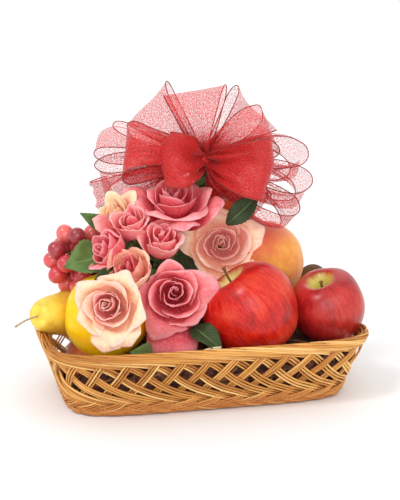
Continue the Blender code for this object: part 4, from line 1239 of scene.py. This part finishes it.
def shreds(bm):
    """Thin curled strips that lie all over the packing, also where the wicker's openings show it."""
    bed = surface_of("packing_bed")
    for _ in range(STRIPS):
        around = draw.random()
        if draw.random() < 0.5:
            start = wall_point(around, draw.uniform(8, 44) * MM, 5 * MM)
            way = (Vector((0, 0, start.z)) - start).normalized()
        else:
            start = wall_point(around, ABOVE_ALL) * draw.uniform(0.05, 0.92) ** 0.6
            start.z = ABOVE_ALL
            way = -UP
        place, normal = bed.ray_cast(start, way)[:2]
        if place is None:
            continue
        normal = normal if normal.dot(way) < 0 else -normal
        ahead = any_way()
        line = []
        for k in range(draw.randint(5, 10)):
            ahead = (ahead + any_way() * 0.45 - normal * ahead.dot(normal)).normalized()
            line.append((place + normal * draw.uniform(0.3, 2.0) * MM, normal))
            place, normal = bed.find_nearest(place + ahead * STRIP_STEP)[:2]
        strip(bm, line)


def strip(bm, line):
    """A flat strip of paper along points, each with the way that its face looks."""
    part = new_mesh()
    pairs = []
    for k, (place, normal) in enumerate(line):
        ahead = line[min(k + 1, len(line) - 1)][0] - line[max(k - 1, 0)][0]
        side = ahead.cross(normal).normalized() * STRIP_WIDTH / 2
        pairs.append((part.verts.new(place - side), part.verts.new(place + side)))
    for (a, b), (c, d) in zip(pairs, pairs[1:]):
        part.faces.new((a, b, d, c))
    mark(part, tone=draw.random())
    append(bm, part)


def under_a_rose(place):
    return any((place - Vector(spec[0]) * MM).length < (spec[2] + 14) * MM for spec in ROSES.values())


def moss(bm):
    """Small leaves laid over the foam like tiles, but not under the front roses."""
    foam = surface_of("flower_foam")
    for _ in range(FOAM_LEAVES):
        way = any_way()
        way.z = abs(way.z)
        place, normal = foam.ray_cast(FOAM_MIDDLE + way * 0.2, -way)[:2]
        if place is None or place.y < FOAM_MIDDLE.y and under_a_rose(place):
            continue
        normal = normal if normal.dot(way) > 0 else -normal
        flat = any_way()
        flat = (flat - normal * flat.dot(normal)).normalized()
        long, wide = draw.uniform(13, 19), draw.uniform(6, 9)
        foot = place - normal * 1 * MM
        tip = foot + (flat + normal * draw.uniform(0.1, 0.45)).normalized() * long * MM
        leaf(bm, (foot / MM, tip / MM, wide, normal), 6, 4, 0.0)


def sprig(bm, path):
    """A thin stem with leaves on both sides."""
    line = curve_through([Vector(point) * MM for point in path], 4)
    rod(bm, line, 0.9 * MM, 6)
    for k, point in enumerate(line[4:], 4):
        ahead = (line[min(k + 1, len(line) - 1)] - line[k - 1]).normalized()
        side = ahead.cross(FRONT).normalized() * (1 if k % 2 else -1)
        way = (side + ahead * 0.9 + FRONT * draw.uniform(0.0, 0.5)).normalized()
        tip = point + way * SPRIG_LEAF * MM
        leaf(bm, (point / MM, tip / MM, SPRIG_LEAF * 0.46, FRONT + UP * 0.3), 6, 4, 0.0)


def fillings(green):
    packing = packing_finish()
    dress("packing_bed", packing)
    pits = (0.3, (22, 34, 18)), (0.7, (54, 76, 36))
    dress("flower_foam", clouded_finish("flower_foam", 0.95, 420.0, 0.7, 1.2 * MM, *pits))
    paper = new_mesh()
    shreds(paper)
    thickened(piece("packing_shreds", paper, [packing], "packing", smooth=False), 0.2 * MM)
    leaves = new_mesh()
    moss(leaves)
    for path in SPRIGS:
        sprig(leaves, path)
    thickened(piece("foam_leaves", leaves, [green], "green_leaf"), THIN)
    bark = wood_finish("olive_wood", (104, 84, 46), (52, 38, 20))
    for node in ("bow_stake", "orange_pick"):
        dress(node, bark)
    bm = new_mesh()
    leaf(bm, TISSUE, 12, 8, 0.0)
    creamy = (0.3, (226, 212, 160)), (0.7, (246, 238, 200))
    tissue = clouded_finish("tissue_paper", 0.8, 260.0, 0.55, 0.6 * MM, *creamy)
    thickened(piece("tissue_paper", bm, [tissue], "tissue", ["tissue_corner"]), THIN)


# Floor, light and camera

SKY_LIGHT = 0.8  # the sky itself shows white, and lights the basket a little less
# Way it comes from, softness in degrees, strength
LAMPS = {
    "key": ((-0.6, -0.3, 0.85), 14, 0.9),
    "fill": ((0.95, -0.55, 0.65), 70, 0.3),
    "front": ((-0.15, -1.0, 0.3), 50, 1.2),
    "back": ((0.1, 1.0, 0.9), 60, 0.4),
}
# The photograph's view, and where its middle falls in the frame
AZIMUTH, ELEVATION, DISTANCE = radians(-13.5), radians(12), 1.089
LOOKED_AT = mm(0, 0, 120)
FRAME_WIDE, FRAME_HIGH = 400, 500
MIDDLE_COLUMN, MIDDLE_ROW = 197.5, 261.5


def studio():
    bm = bmesh.new()
    bmesh.ops.create_grid(bm, x_segments=1, y_segments=1, size=12)
    paper = Finish("pale_floor", Roughness=0.9, Base_Color=colour(246, 246, 246))
    floor = placed("floor", bm, [paper.material])
    scene = bpy.context.scene
    scene.world = bpy.data.worlds.new("studio")
    scene.world.use_nodes = True
    tree = scene.world.node_tree
    sky = tree.nodes["Background"]
    sky.inputs["Color"].default_value = (1, 1, 1, 1)
    seen = tree.nodes.new("ShaderNodeLightPath")
    power = tree.nodes.new("ShaderNodeMapRange")
    power.inputs["To Min"].default_value = SKY_LIGHT
    power.inputs["To Max"].default_value = 1.0
    tree.links.new(seen.outputs["Is Camera Ray"], power.inputs["Value"])
    tree.links.new(power.outputs["Result"], sky.inputs["Strength"])
    scene.view_settings.view_transform = "Standard"
    scene.cycles.transparent_max_bounces = 32
    for name, (way, soft, strength) in LAMPS.items():
        lamp = bpy.data.lights.new(name, "SUN")
        lamp.angle = radians(soft)
        lamp.energy = strength
        made = bpy.data.objects.new(name, lamp)
        made.rotation_euler = Vector(way).to_track_quat("Z", "Y").to_euler()
        scene.collection.objects.link(made)


def camera():
    """The photograph's view: its middle, height and distance, with the frame moved up a little."""
    back = Vector((sin(AZIMUTH) * cos(ELEVATION), -cos(AZIMUTH) * cos(ELEVATION), sin(ELEVATION)))
    right = Vector((cos(AZIMUTH), sin(AZIMUTH), 0))
    lens = bpy.data.cameras.new("camera")
    lens.lens = 85
    lens.sensor_fit = "VERTICAL"
    lens.sensor_height = 36
    lens.shift_x = (FRAME_WIDE / 2 - MIDDLE_COLUMN) / FRAME_HIGH
    lens.shift_y = (MIDDLE_ROW - FRAME_HIGH / 2) / FRAME_HIGH
    lens.clip_start = 0.01
    made = bpy.data.objects.new("camera", lens)
    stand = Matrix.Translation(LOOKED_AT + back * DISTANCE)
    made.matrix_world = stand @ upright(right, back.cross(right), back)
    bpy.context.scene.collection.objects.link(made)
    bpy.context.scene.camera = made


studio()
camera()
wicker()
fruits()
leaf_green = posy()
bow()
fillings(leaf_green)
